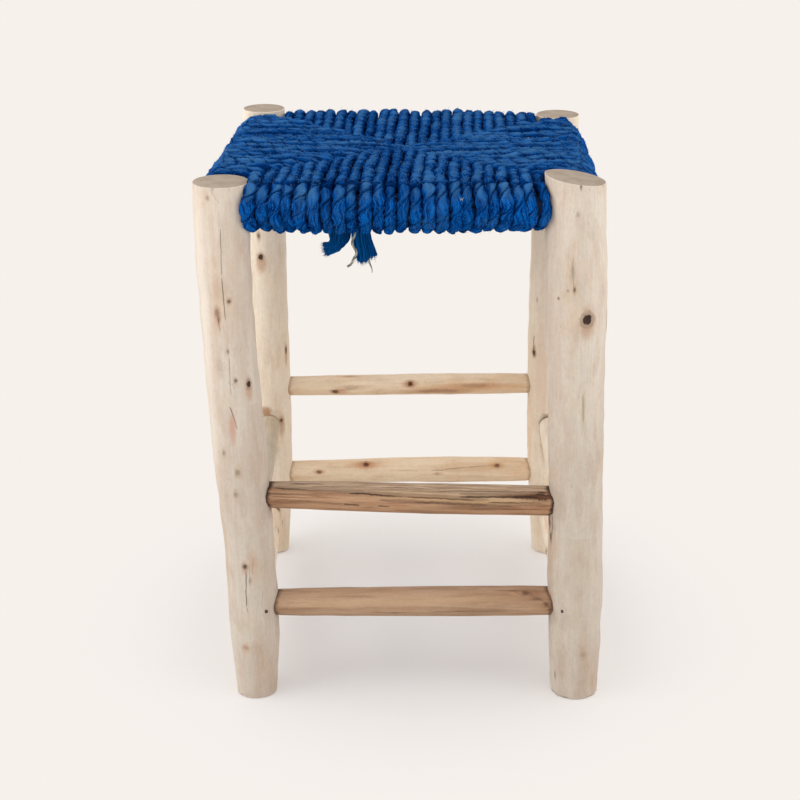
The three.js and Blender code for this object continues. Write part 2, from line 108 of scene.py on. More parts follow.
# Stretchers: legs they join, heights of the axis, diameter, girth along the length in shares
STRETCHERS = {
    "front_upper": (("front_left", "front_right"), (198, 190.5), 28.5,
                    [(0, 0.8), (0.1, 0.84), (0.3, 0.93), (0.55, 1), (0.8, 0.99), (1, 0.94)]),
    "front_lower": (("front_left", "front_right"), (90.5, 91.5), 27.5,
                    [(0, 0.83), (0.12, 0.9), (0.45, 0.98), (0.7, 1), (0.88, 0.98), (1, 0.93)]),
    "back_upper": (("back_left", "back_right"), (187, 190.5), 22,
                   [(0, 0.88), (0.2, 0.94), (0.5, 1), (0.8, 0.96), (1, 0.9)]),
    "back_lower": (("back_left", "back_right"), (89.5, 92.5), 28,
                   [(0, 0.75), (0.2, 0.84), (0.45, 0.95), (0.65, 1), (0.85, 0.93), (1, 0.82)]),
    "left_upper": (("front_left", "back_left"), (152, 153.5), 23.5,
                   [(0, 0.88), (0.25, 0.96), (0.55, 1), (0.8, 0.97), (1, 0.87)]),
    "left_lower": (("front_left", "back_left"), (50, 48), 23,
                   [(0, 0.9), (0.3, 1), (0.6, 0.98), (1, 0.86)]),
    "right_upper": (("front_right", "back_right"), (149, 151), 24,
                    [(0, 0.86), (0.3, 0.94), (0.6, 1), (0.85, 0.97), (1, 0.9)]),
    "right_lower": (("front_right", "back_right"), (46, 44.5), 23,
                    [(0, 0.85), (0.35, 0.97), (0.65, 1), (1, 0.88)]),
}

# Seat cord: how it lies on the rails, and how its two plies turn
ROUNDS = 12
CORD_DIAMETER = 9.2 * MM
WRAP_RADIUS = 17.5 * MM
WRAP_SWELL = 0.1
# The runs below lie beside those above, so that hardly any light comes through
UNDER_SHIFT = 4.2 * MM
SEAT_DIP = 4 * MM
# The wound seat leans: a little up at the front, down at the back, and more so on the right
FRONT_LIFT = 3 * MM
BACK_DROP = 3.2 * MM
RIGHT_DROP = 2 * MM
FAN_OUT = 5.6 * MM
FAN_POWER = 1.5
DIVE_DEPTH = 9.5 * MM
FIRST_DIVE = 4.8 * MM
SECOND_DIVE = 3.1 * MM
ARRIVAL_OFFSET = 2.7 * MM
DIVE_SIZE = 0.72
WRAP_POINTS = 12
# Chance in each pass: along the rail, outwards, in thickness, and the height of the run to the rail
PASS_SHIFT = 0.45 * MM
PASS_PROUD = 0.7 * MM
PASS_THICKNESS = 0.06
PASS_HEAP = (0.3 * MM, 1.1 * MM)
# Where a run is held between the diagonal and the rail, and the cord's size where it comes up
RUN_SHARES = (0.35, 0.7)
RUN_SIZE = 0.97
CORD_STEP = 2.1 * MM
CORD_PIECES = 5
PLY_SIDES = 14
YARN_SIDES = 6
PLY_OFFSET = 2.15 * MM
PLY_RADIAL = 3.0 * MM
PLY_ACROSS = 4.7 * MM
TWIST_LENGTH = 29 * MM
# The plies settle one on top of the other, and are squeezed where they lie side by side
PLY_DWELL = 0.26
PLY_SQUEEZE = 0.14
# How far a strand's crest stands out from its middle
CREST = 5 * MM
YARN_SHEAR = 0.75
# Slow chance along the cord: how far it wanders, how size, twist and plies vary, and over how many steps
CORD_WANDER = 0.6 * MM
CORD_SPREAD = 0.06
TWIST_SPREAD = 0.16
PLY_SPREAD = 0.1
WANDER_STEPS, SIZE_STEPS, PLY_STEPS = 12, 9, 4

# Strand of core twine under the front rail, from the rail's middle: its diameter, how its plies are laid,
# and its route in millimetres
TWINE_DIAMETER = 2.2 * MM
TWINE_PLIES = 3
TWINE_SIDES = 8
TWINE_LAY = 8 * MM
TWINE_STEP = 0.5 * MM
# How far a ply is set off, and its radius, in shares of the twine's girth
TWINE_PLY = (0.24, 0.28)
TWINE_ROUTE = [
    (-44, 9, 0), (-44.1, 9, -2.4), (-44.6, 8.9, -4.8), (-45.5, 8.8, -7), (-46.2, 8.7, -9.4),
    (-46, 8.7, -11.8), (-44.9, 8.8, -14), (-43.6, 9, -16.2), (-42.8, 9.2, -18.5), (-43.2, 9.2, -21),
    (-44.6, 9.1, -23.2), (-45.6, 9, -25.4), (-46.6, 8.8, -27.7), (-48.4, 8.6, -29.6), (-50.6, 8.4, -31),
]
# The seat cord's two frayed ends, from the same place: guides that their yarns follow, as x and z in mm
FRAYED_DEPTH = 18
FRAYED_SPREAD = (2.8, 1.4)
FRAYED_YARNS = 84
FRAYED_STEP = 0.9 * MM
YARN_RADIUS = (0.5, 0.8)
YARN_WANDER = 0.35 * MM
YARN_STEPS = 5
# Hairs at the yarns' tips: how far they turn, and how long they are in millimetres
TIP_TURN = 0.3
TIP_LENGTH = (1.2, 3.4)
FRAYED_ENDS = {
    "left": [
        [(-66, 3), (-66.1, -5), (-65.2, -9.5), (-66.2, -11.8), (-71.6, -13.2)],
        [(-61, 3), (-61.2, -6), (-62, -11.5), (-65, -15.5), (-71, -17.6)],
        [(-56.5, 3), (-56.8, -7), (-58, -13), (-61.5, -18), (-70, -21.5)],
        [(-52, 3), (-52.5, -6), (-53.6, -11.5), (-57.5, -18.8), (-68.3, -24.6)],
        [(-47.5, 3), (-47.8, -5), (-48.6, -9), (-50.5, -12), (-54.5, -14)],
    ],
    "right": [
        [(-46.5, 3), (-46.6, -8), (-46.3, -14), (-42.6, -20), (-43.7, -26.5)],
        [(-42.8, 3), (-42.3, -9), (-41.2, -17), (-40, -24), (-39.9, -30.8)],
        [(-39, 3), (-38.3, -9), (-37, -17), (-36, -24), (-35, -30.2)],
        [(-35, 3), (-34, -9), (-32.6, -17), (-31.6, -22), (-31.7, -27.5)],
        [(-31.8, 3), (-31, -7), (-29.2, -13), (-27.4, -18), (-25.8, -23.6)],
    ],
}
# A tuft of core twine that comes out of the right end: its route, and its girth along it, in millimetres
CORE_TUFT = [
    (-33, 18, -24), (-32.4, 17, -28.4), (-31.2, 16.5, -31.8), (-30, 16.4, -34.8), (-29.7, 16.4, -38.6),
]
CORE_TUFT_GIRTH = (2.4, 0.7)

# Places where the pale core shows in the seat, in millimetres
CORE_FLECKS = [(44.5, -167.5, 471), (-112, -67, 480), (-162, -14, 475.5), (112, 21, 478)]
CORE_HAIRS = 6
CORE_SPREAD = 0.5 * MM
CORE_LENGTH = (0.9, 2)

# Nails: one through each tenon of the lowest ring
NAILED = ("front_lower", "back_lower", "left_lower", "right_lower")
NAIL_INSET = 12.6 * MM
NAIL_SINK = 0.5 * MM


def paint(red, green, blue):
    """A colour as a screen shows it, 0 to 255, in the linear values that a shader takes."""
    def linear(value):
        share = value / 255
        return share / 12.92 if share <= 0.04045 else ((share + 0.055) / 1.055) ** 2.4

    return (linear(red), linear(green), linear(blue), 1.0)


BACKDROP = paint(247, 241, 236)
COTTON_DARK = paint(0, 36, 99)
COTTON_LIGHT = paint(14, 112, 207)
# Painted sheen and wear: the pale, greyer blue of crests on top of the seat, and of worn patches
COTTON_WEAR_AND_SHEEN = paint(73, 126, 173)
COTTON_TONED = paint(4, 58, 122)
COTTON_TUFT = paint(84, 142, 194)
# Painted shade: the deep blue laid into the creases between strands, stronger on top of the seat
COTTON_CREASE_SHADE = paint(0, 39, 97)
COTTON_RELIEF = 1.4 * MM
# Dark and light tones of loose fibres
TWINE_TONES = ((84, 84, 70), (216, 213, 200))
FLUFF_TONES = ((20, 92, 164), (112, 158, 206))
# The frayed ends are darker than the cord's light tone, as painted shade under the seat
FRAYED_SHADED_TONES = ((0, 44, 102), (14, 100, 168))
CORE_TONES = ((150, 150, 142), (206, 202, 192))
# From this height up the cord is on top of the seat, where it is sat on, painted lighter on its crests as
# painted sheen, and painted darker between them as painted shade
SEAT_TOP = RAIL_HEIGHT + 8 * MM


# The frame's own lines, as the construction has them
def leg_height(leg):
    return LEG_HEIGHT + leg["taller"]


def leg_centre(leg, height):
    share = height / leg_height(leg)
    sway = leg["sway"] * math.sin(math.pi * leg["waves"] * share)
    foot, head = leg["foot"], leg["head"]
    x = LEG_SPAN_X * (foot[0] + (head[0] - foot[0]) * share) + sway
    y = LEG_SPAN_Y * (foot[1] + (head[1] - foot[1]) * share)
    return Vector((x, y, height))


def girth_at(table, share):
    places, girths = zip(*table)
    return float(np.interp(share, places, girths))


def leg_radius(leg, height):
    return leg["diameter"] / 2 * girth_at(leg["girth"], height / leg_height(leg))


def pole_between(ends, heights):
    first, second = (LEGS[end] for end in ends)
    start, end = leg_centre(first, heights[0]), leg_centre(second, heights[1])
    walls = leg_radius(first, heights[0]), leg_radius(second, heights[1])
    length = (end - start).length
    return {"ends": ends, "start": start, "along": (end - start) / length, "length": length, "walls": walls}


# Camera and cords
def add_object(name, data):
    added = bpy.data.objects.new(name, data)
    bpy.context.scene.collection.objects.link(added)
    return added


def set_camera():
    data = bpy.data.cameras.new("camera")
    data.lens = CAMERA_LENS
    camera = add_object("camera", data)
    camera.location = CAMERA_PLACE
    camera.rotation_euler = (math.pi / 2 - CAMERA_DOWN, 0, 0)
    bpy.context.scene.camera = camera


def smooth_line(points, step):
    """Points a short step apart on one smooth curve through given points."""
    points = np.array(points, float)
    padded = np.vstack([2 * points[0] - points[1], points, 2 * points[-1] - points[-2]])
    gaps = np.maximum(np.linalg.norm(np.diff(padded, axis=0), axis=1), 1e-7) ** 0.5
    line = []
    for i in range(1, len(padded) - 2):
        p0, p1, p2, p3 = padded[i - 1 : i + 3]
        t1, t2, t3 = np.cumsum(gaps[i - 1 : i + 2])
        steps = max(2, math.ceil(np.linalg.norm(p2 - p1) / step * 2))
        t = np.linspace(t1, t2, steps, endpoint=False)[:, None]
        a1 = (t1 - t) / t1 * p0 + t / t1 * p1
        a2 = (t2 - t) / (t2 - t1) * p1 + (t - t1) / (t2 - t1) * p2
        a3 = (t3 - t) / (t3 - t2) * p2 + (t - t2) / (t3 - t2) * p3
        b1 = (t2 - t) / t2 * a1 + t / t2 * a2
        b2 = (t3 - t) / (t3 - t1) * a2 + (t - t1) / (t3 - t1) * a3
        line.append((t2 - t) / (t2 - t1) * b1 + (t - t1) / (t2 - t1) * b2)
    line = np.vstack(line + [points[-1:]])
    travelled = np.concatenate([[0], np.cumsum(np.linalg.norm(np.diff(line[:, :3], axis=0), axis=1))])
    even = np.linspace(0, travelled[-1], max(2, round(travelled[-1] / step)))
    return np.column_stack([np.interp(even, travelled, line[:, k]) for k in range(line.shape[1])]), even


def unit(vectors):
    return vectors / np.linalg.norm(vectors, axis=1)[:, None]


def carried_frames(line):
    """Two side directions carried along a line without turning round it."""
    tangents = unit(np.gradient(line, axis=0))
    side = np.cross(tangents[0], (0.3, 0.8, 0.1))
    normals = np.empty_like(line)
    for i, tangent in enumerate(tangents):
        side = side - tangent * side.dot(tangent)
        side /= math.sqrt(side.dot(side))
        normals[i] = side
    return normals, np.cross(tangents, normals)


def tube_rings(line, normals, sides_way, turn, offset, radial, across, sides):
    """Rings of one ply: an oval section set off from the line and turned round it."""
    section = np.linspace(-math.pi, math.pi, sides, endpoint=False)
    out = normals * np.cos(turn)[:, None] + sides_way * np.sin(turn)[:, None]
    over = -normals * np.sin(turn)[:, None] + sides_way * np.cos(turn)[:, None]
    full = (np.abs(np.cos(section)) ** 2.5 + np.abs(np.sin(section)) ** 2.5) ** -0.4
    reach = offset[:, None] + radial[:, None] * full * np.cos(section)
    spread = across[:, None] * full * np.sin(section)
    return line[:, None] + out[:, None] * reach[..., None] + over[:, None] * spread[..., None]


def tube_faces(rings, sides, first=0):
    """Quads between rings, and the two end caps."""
    row, column = np.meshgrid(np.arange(rings - 1), np.arange(sides), indexing="ij")
    beside = (column + 1) % sides
    base = first + row * sides
    quads = np.stack([base + column, base + beside, base + sides + beside, base + sides + column], -1)
    last = first + (rings - 1) * sides
    caps = [list(range(first + sides - 1, first - 1, -1)), list(range(last, last + sides))]
    return quads.reshape(-1, 4).tolist(), caps


def mesh_piece(name, points, faces):
    mesh = bpy.data.meshes.new(name)
    mesh.from_pydata(points.tolist(), [], faces)
    mesh.update()
    piece = add_object(name, mesh)
    mesh.polygons.foreach_set("use_smooth", np.ones(len(mesh.polygons), bool))
    return piece


def finish_piece(piece, material, slot, *nodes):
    piece.data.materials.append(material)
    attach(piece, BODY)
    if nodes:
        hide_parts(*nodes)
    return piece


# Materials: small helpers for node trees
def place(tree, kind, inputs=(), **settings):
    """A node of one kind with its settings, and its inputs set or linked."""
    node = tree.nodes.new(kind)
    for name, value in settings.items():
        setattr(node, name, value)
    for name, value in dict(inputs).items():
        if isinstance(value, bpy.types.NodeSocket):
            tree.links.new(value, node.inputs[name])
        else:
            node.inputs[name].default_value = value
    return node


def tree_of(values):
    """The node tree that some of these values belong to."""
    return next(value.id_data for value in values if isinstance(value, bpy.types.NodeSocket))


def sum_of(operation, *values, clamp=False):
    tree = tree_of(values)
    return place(tree, "ShaderNodeMath", enumerate(values), operation=operation, use_clamp=clamp).outputs[0]


plus, minus = partial(sum_of, "ADD"), partial(sum_of, "SUBTRACT")
times, ratio = partial(sum_of, "MULTIPLY"), partial(sum_of, "DIVIDE")


def vector_sum(operation, *values):
    node = place(tree_of(values), "ShaderNodeVectorMath", enumerate(values), operation=operation)
    return node.outputs["Value" if operation in ("LENGTH", "DISTANCE", "DOT_PRODUCT") else "Vector"]


length_of, stretched = partial(vector_sum, "LENGTH"), partial(vector_sum, "MULTIPLY")


def scaled(vector, share):
    inputs = {0: vector, "Scale": share}
    return place(tree_of((vector, share)), "ShaderNodeVectorMath", inputs, operation="SCALE").outputs[0]


def parts_of(vector):
    return place(vector.id_data, "ShaderNodeSeparateXYZ", {0: vector}).outputs


def vector_of(*parts):
    return place(tree_of(parts), "ShaderNodeCombineXYZ", enumerate(parts)).outputs[0]


def blend(share, under, over, way="MIX"):
    tree, inputs = tree_of((share, under, over)), {0: share, 6: under, 7: over}
    mix = place(tree, "ShaderNodeMix", inputs, data_type="RGBA", blend_type=way, clamp_factor=True)
    return mix.outputs[2]


def spread(value, low, high, to_low=0.0, to_high=1.0):
    inputs = {"Value": value, "From Min": low, "From Max": high, "To Min": to_low, "To Max": to_high}
    return place(value.id_data, "ShaderNodeMapRange", inputs, interpolation_type="SMOOTHSTEP").outputs[0]


def noise_of(vector, scale, detail=2.0, rough=0.5, warp=0.0, output=0):
    inputs = {"Vector": vector, "Scale": scale, "Detail": detail, "Roughness": rough, "Distortion": warp}
    return place(vector.id_data, "ShaderNodeTexNoise", inputs).outputs[output]


def object_place(tree):
    return place(tree, "ShaderNodeTexCoord").outputs["Object"]


def value_of(tree, label):
    return place(tree, "ShaderNodeAttribute", attribute_name=label).outputs["Fac"]


def new_group(name, inputs, outputs):
    """A node group with named sockets, and its two end nodes."""
    group = bpy.data.node_groups.new(name, "ShaderNodeTree")
    for label, kind, default in inputs:
        socket = group.interface.new_socket(label, in_out="INPUT", socket_type="NodeSocket" + kind)
        socket.default_value = default
    for label, kind in outputs:
        group.interface.new_socket(label, in_out="OUTPUT", socket_type="NodeSocket" + kind)
    return group, group.nodes.new("NodeGroupInput"), group.nodes.new("NodeGroupOutput")


def use_group(group, inputs):
    return place(tree_of(inputs.values()), "ShaderNodeGroup", inputs, node_tree=group).outputs


def new_material(name, **constants):
    """A material with its shader, whose plain values are set on the shader itself."""
    material = bpy.data.materials.new(name)
    material.use_nodes = True
    tree = material.node_tree
    shader = tree.nodes["Principled BSDF"]
    for socket, value in constants.items():
        shader.inputs[socket.replace("_", " ")].default_value = value
    return material, tree, shader


def dress(shader, colour, height, depth, rough=None):
    """Feeds a shader with its colour, its relief and its roughness."""
    tree = shader.id_data
    bump = place(tree, "ShaderNodeBump", {"Height": height, "Distance": depth, "Strength": 1.0}).outputs[0]
    for socket, value in (("Base Color", colour), ("Normal", bump), ("Roughness", rough)):
        if value is not None:
            tree.links.new(value, shader.inputs[socket])


WARM_TINT = (1.0, 0.93, 0.85, 1)
COOL_TINT = (0.93, 0.94, 0.92, 1)


def grain_group():
    """Debarked wood along Z of its input: blotches, drawn-out streaks, fine fibres and small flecks."""
    white = (1, 1, 1, 1)
    inputs = [
        ("Place", "Vector", (0, 0, 0)), ("Light", "Color", white), ("Dark", "Color", white),
        ("Patch", "Color", white), ("Streaks", "Float", 0.5), ("Flecks", "Float", 0.5),
    ]
    outputs = [("Color", "Color"), ("Height", "Float"), ("Roughness", "Float")]
    tree, given, out = new_group("debarked_grain", inputs, outputs)
    light, dark, patch, streak_share, fleck_share = list(given.outputs)[1:6]

    def grain(drawn, *settings):
        return noise_of(stretched(given.outputs["Place"], (1, 1, drawn)), *settings)

    fibres, mottle = grain(0.03, 1100.0, 3.0, 0.65), grain(0.6, 420.0, 3.0, 0.65)
    streaks = grain(0.06, 260.0, 4.0, 0.6, 0.3)
    patches, blotches = grain(0.3, 30.0, 2.0, 0.5), grain(0.35, 85.0, 4.0, 0.6)
    flecks, specks = grain(0.3, 330.0, 2.0, 0.6), grain(0.55, 760.0, 2.0, 0.6)
    warm, cool = grain(0.4, 62.0, 3.0, 0.6), grain(0.5, 48.0, 3.0, 0.6)
    colour = blend(spread(patches, 0.4, 0.68, 0.0, 0.55), light, patch)
    colour = blend(spread(blotches, 0.45, 0.75, 0.0, 0.7), colour, patch)
    colour = blend(times(spread(streaks, 0.42, 0.72), streak_share), colour, dark)
    colour = blend(times(spread(flecks, 0.68, 0.76), fleck_share), colour, dark)
    colour = blend(spread(warm, 0.5, 0.7, 0.0, 0.8), colour, WARM_TINT, "MULTIPLY")
    colour = blend(spread(cool, 0.54, 0.7, 0.0, 0.8), colour, COOL_TINT, "MULTIPLY")
    colour = blend(times(spread(specks, 0.67, 0.75), fleck_share), colour, dark)
    shade = times(spread(fibres, 0.3, 0.7, 0.95, 1.02), spread(mottle, 0.3, 0.7, 0.96, 1.03))
    grey = place(tree, "ShaderNodeCombineColor", {0: shade, 1: shade, 2: shade}).outputs[0]
    height = plus(plus(times(fibres, 0.3), times(streaks, 0.4)), times(mottle, 0.3))
    tree.links.new(blend(1.0, colour, grey, "MULTIPLY"), out.inputs["Color"])
    tree.links.new(height, out.inputs["Height"])
    tree.links.new(spread(streaks, 0.3, 0.7, 0.68, 0.85), out.inputs["Roughness"])
    return tree


def off_skin(given, spot, base, share):
    """The way from a mark's base, less a share of what lies along the mark's outward direction."""
    away = vector_sum("SUBTRACT", spot, given.outputs[base])
    proud = times(vector_sum("DOT_PRODUCT", away, given.outputs["Out"]), share)
    return vector_sum("SUBTRACT", away, scaled(given.outputs["Out"], proud))


def shaken(vector, scale, reach, detail=2.0):
    """A place moved about by noise, by up to half the reach each way."""
    noise = noise_of(vector, scale, detail, 0.65, output=1)
    return vector_sum("ADD", vector, scaled(vector_sum("SUBTRACT", noise, (0.5, 0.5, 0.5)), reach))


def knot_group():
    """One knot: a dark heart, a rim round it, and a stain drawn out along the grain, more on one side."""
    inputs = [
        ("Place", "Vector", (0, 0, 0)), ("Centre", "Vector", (0, 0, 0)), ("Out", "Vector", (0, -1, 0)),
        ("Size", "Float", 0.003), ("Length", "Float", 1.5), ("Halo", "Float", 3.0), ("Trail", "Float", 0.0),
    ]
    outputs = [("Heart", "Float"), ("Rim", "Float"), ("Halo", "Float")]
    tree, given, out = new_group("knot_mark", inputs, outputs)
    size = given.outputs["Size"]
    rough = shaken(given.outputs["Place"], ratio(1.1, size), times(size, 1.5), 3.0)
    x, y, z = parts_of(off_skin(given, rough, "Centre", 0.75))
    drawn = ratio(z, given.outputs["Length"])
    share = ratio(length_of(vector_of(x, y, drawn)), size)
    trailed = ratio(plus(drawn, given.outputs["Trail"]), 1.7)
    far = ratio(ratio(length_of(vector_of(x, y, trailed)), size), given.outputs["Halo"])
    tree.links.new(spread(share, 1.1, 0.75), out.inputs["Heart"])
    tree.links.new(times(spread(share, 0.85, 1.2), spread(share, 1.9, 1.25)), out.inputs["Rim"])
    tree.links.new(spread(far, 1.05, 0.3), out.inputs["Halo"])
    return tree


def crack_group():
    """A drying crack: a thin wavering line between two points."""
    inputs = [
        ("Place", "Vector", (0, 0, 0)), ("From", "Vector", (0, 0, 0)), ("To", "Vector", (0, 0, 0.01)),
        ("Out", "Vector", (0, -1, 0)), ("Width", "Float", 0.0005),
    ]
    tree, given, out = new_group("drying_crack", inputs, [("Line", "Float")])
    away = off_skin(given, shaken(given.outputs["Place"], 130.0, 2.4 * MM, 4.0), "From", 0.93)
    whole = vector_sum("SUBTRACT", given.outputs["To"], given.outputs["From"])
    squared = vector_sum("DOT_PRODUCT", whole, whole)
    share = ratio(vector_sum("DOT_PRODUCT", away, whole), squared, clamp=True)
    reach = vector_sum("DISTANCE", away, scaled(whole, share))
    taper = times(minus(1.0, share), share)
    width = times(given.outputs["Width"], spread(taper, 0.0, 0.1, 0.4, 1.0))
    tree.links.new(spread(ratio(reach, width), 1.2, 0.4), out.inputs["Line"])
    return tree


def on_pole(radius, along, turn, upright=True):
    """A point on a pole's skin, in the pole's own frame, at a distance along it and a turn in degrees."""
    angle = math.radians(turn if upright else -turn)
    return (radius * math.sin(angle), -radius * math.cos(angle), along)


def way_out(turn, upright=True):
    return Vector(on_pole(1, 0, turn, upright))


# How ragged the edge of the darker band round a leg is, and between which distances from the leg it fades
# in
JOINT_DARK_RAGGED = 5 * MM
JOINT_DARK_REACH = (7.4 * MM, 3 * MM)


def pole_wood(name, axis, tones, streaks, flecks, marks, relief, walls=(), joint_dark=None, zone=None, shade_and_soil=0.0):
    """Bare wood of one pole, with its own knots, cracks, stains and painted shades, and darker where it
    meets the legs.
    """
    light, dark, patch, heart_colour, halo_colour = tones
    knots, cracks, stains_and_shades = marks
    material, tree, shader = new_material(name, Specular_IOR_Level=0.45)
    turned = {"Vector": object_place(tree), "Location": axis.to_translation(), "Rotation": axis.to_euler()}
    spot = place(tree, "ShaderNodeMapping", turned, vector_type="TEXTURE").outputs[0]
    grain = use_group(GRAIN, {
        "Place": spot, "Light": light, "Dark": dark, "Patch": patch, "Streaks": streaks, "Flecks": flecks,
    })
    colour, height = grain["Color"], grain["Height"]
    if zone:
        colour, height = zone(spot, colour, height)
    # Darker towards the floor: partly soiling, partly painted shade
    if shade_and_soil:
        colour = blend(spread(parts_of(spot)[2], *SHADE_AND_SOIL_HEIGHTS, 0.0, shade_and_soil), colour, SHADE_AND_SOIL, "MULTIPLY")

    def mark(centre, out, size, length, halo, trail):
        return use_group(KNOT, {
            "Place": spot, "Centre": centre, "Out": out, "Size": size, "Length": length, "Halo": halo,
            "Trail": trail * size,
        })

    # Stains, and on the front left leg painted shade and painted highlight down its sides
    for *shape, strength, tint in stains_and_shades:
        colour = blend(times(mark(*shape)["Halo"], strength), colour, tint)
    washes = ("Halo", 0.6, halo_colour), ("Rim", 0.3, heart_colour), ("Heart", 1, heart_colour)
    for *shape, strength in knots:
        knot = mark(*shape)
        for part, share, tint in washes:
            colour = blend(times(knot[part], share * strength), colour, tint)
        height = minus(height, times(knot["Heart"], 0.8 * strength))
    for start, end, out, width, strength in cracks:
        crack = use_group(CRACK, {"Place": spot, "From": start, "To": end, "Out": out, "Width": width})
        line = times(crack["Line"], strength)
        colour, height = blend(line, colour, heart_colour), minus(height, line)
    # A darker band where the pole meets each leg
    for leg_axis, leg_reach in walls:
        _, y, z = parts_of(spot)
        meeting = sum_of("SQRT", sum_of("MAXIMUM", minus(leg_reach**2, times(y, y)), 0.0))
        near = minus(sum_of("ABSOLUTE", minus(z, leg_axis)), meeting)
        ragged = times(noise_of(stretched(spot, (1, 1, 0.3)), 200.0, 3.0), JOINT_DARK_RAGGED)
        colour = blend(spread(plus(near, ragged), *JOINT_DARK_REACH, 0.0, joint_dark[0]), colour, joint_dark[1])
    dress(shader, colour, height, relief, grain["Roughness"])
    return material


# End grain: year rings in radians to a metre, how far they waver, and how deep the saw's marks are
YEAR_RINGS = 2600.0
RING_WAVER = 0.004
SAW_RELIEF = 0.25 * MM


def sawn_wood(name, axis, light, dark):
    """End grain: faint rings round the pith, rays, and the marks of the saw."""
    material, tree, shader = new_material(name, Roughness=0.85, Specular_IOR_Level=0.2)
    spot = vector_sum("SUBTRACT", object_place(tree), tuple(axis))
    flat = stretched(spot, (1, 1, 0))
    wavered = plus(length_of(flat), times(noise_of(flat, 90.0), RING_WAVER))
    rings = sum_of("SINE", times(wavered, YEAR_RINGS))
    pores = noise_of(flat, 1400.0, 3.0, 0.7)
    saw = noise_of(stretched(spot, (0.06, 1, 1)), 900.0, 2.0)
    share = plus(spread(rings, -1.0, 1.0, 0.0, 0.35), spread(pores, 0.35, 0.65, 0.0, 0.5))
    stain = spread(noise_of(flat, 70.0, 2.0), 0.4, 0.65, 0.0, 0.5)
    dress(shader, blend(plus(share, stain, clamp=True), light, dark), plus(pores, saw), SAW_RELIEF)
    return material


# Poles: raised ring by ring, made smooth, worked over, then sawn to length
POLE_SIDES = 32
RING_STEP = 9 * MM
# Smoothing draws a pole in, so its rings are raised a little stouter; and they are a little uneven
RING_SPARE = 1.006
LEG_UNEVEN = 0.22 * MM
STRETCHER_UNEVEN = 0.12 * MM
STRETCHER_BEND = 0.5 * MM
# Hand work, as width, length and depth: long swells, and the marks of the knife
LEG_SWELL = (30 * MM, 120 * MM, 1.1 * MM)
LEG_KNIFE = (5 * MM, 45 * MM, 0.36 * MM)
STRETCHER_SWELL = (16 * MM, 70 * MM, 1.2 * MM)
STRETCHER_KNIFE = (4 * MM, 60 * MM)
# Heights of the rings at a leg's foot, in millimetres, and how far the rims of its two ends are eased
FOOT_RINGS = (0, 4, 10, 17, 25, 34)
FOOT_RIM = 1.6 * MM
HEAD_RIM = 0.5 * MM
# The knife's flat cuts round a foot: how many, and how far up they start, in millimetres
FOOT_CUTS = 8
CUT_START = (36, 58)
# A dent's reach and its lip, in shares of its size and depth: the place of the crest, its width and height
DENT_REACH = 2.6
LIP_PLACE, LIP_WIDTH, LIP_HEIGHT = 1.35, 0.42, 0.3
# Edges sharper than this stay sharp
SHARP_ANGLE = math.radians(38)
# How strong streaks and flecks are, and how deep the grain
LEG_GRAIN = (0.14, 0.4)
RAIL_GRAIN = (0.5, 0.4)
PLAIN_RELIEF = 0.3 * MM


def deselect():
    if bpy.context.object and bpy.context.object.mode != "OBJECT":
        bpy.ops.object.mode_set(mode="OBJECT")
    bpy.ops.object.select_all(action="DESELECT")


def pick(piece):
    deselect()
    piece.select_set(True)
    bpy.context.view_layer.objects.active = piece


def settle(piece):
    """Puts a piece's place, turn and scale into its mesh."""
    pick(piece)
    bpy.ops.object.transform_apply(location=True, rotation=True, scale=True)


def apply_modifier(piece, kind, **settings):
    pick(piece)
    modifier = piece.modifiers.new(kind.lower(), kind)
    for name, value in settings.items():
        setattr(modifier, name, value)
    bpy.ops.object.modifier_apply(modifier=modifier.name)


def raise_pole(name, rings):
    """A round pole, extruded from its first ring through all the others."""
    deselect()
    centre, radius = rings[0]
    bpy.ops.mesh.primitive_circle_add(vertices=POLE_SIDES, radius=radius, fill_type="NGON", location=centre)
    pole = bpy.context.object
    pole.name = name
    bpy.ops.object.mode_set(mode="EDIT")
    bpy.ops.mesh.select_all(action="SELECT")
    for next_centre, next_radius in rings[1:]:
        bpy.ops.mesh.extrude_region_move(TRANSFORM_OT_translate={"value": next_centre - centre})
        grow = next_radius / radius
        bpy.ops.transform.resize(value=(grow, grow, 1), center_override=next_centre)
        centre, radius = next_centre, next_radius
    bpy.ops.mesh.select_all(action="SELECT")
    bpy.ops.mesh.normals_make_consistent(inside=False)
    bpy.ops.object.mode_set(mode="OBJECT")
    settle(pole)
    return pole


def work_over(pole, name, width, length, depth, seed):
    """Unevenness of hand work, wider along the pole than across it."""
    texture = bpy.data.textures.new(name, "CLOUDS")
    texture.noise_scale = width
    texture.noise_depth = 1
    squash = width / length
    pole.location.x = seed
    settle(pole)
    pole.scale.z = squash
    settle(pole)
    apply_modifier(pole, "DISPLACE", texture=texture, texture_coords="LOCAL", strength=depth, mid_level=0.5)
    pole.scale.z = 1 / squash
    settle(pole)
    pole.location.x = -seed
    settle(pole)


def points_of(piece):
    points = np.empty(len(piece.data.vertices) * 3)
    piece.data.vertices.foreach_get("co", points)
    return points.reshape(-1, 3)


def put_points(piece, points):
    piece.data.vertices.foreach_set("co", points.ravel())
    piece.data.update()


def hew(piece, point, normal):
    """A flat cut by a drawknife: what stands outside the plane is pressed onto it."""
    points = points_of(piece)
    normal = np.array(normal) / np.linalg.norm(normal)
    proud = np.maximum((points - np.array(point)) @ normal, 0)
    put_points(piece, points - proud[:, None] * normal)


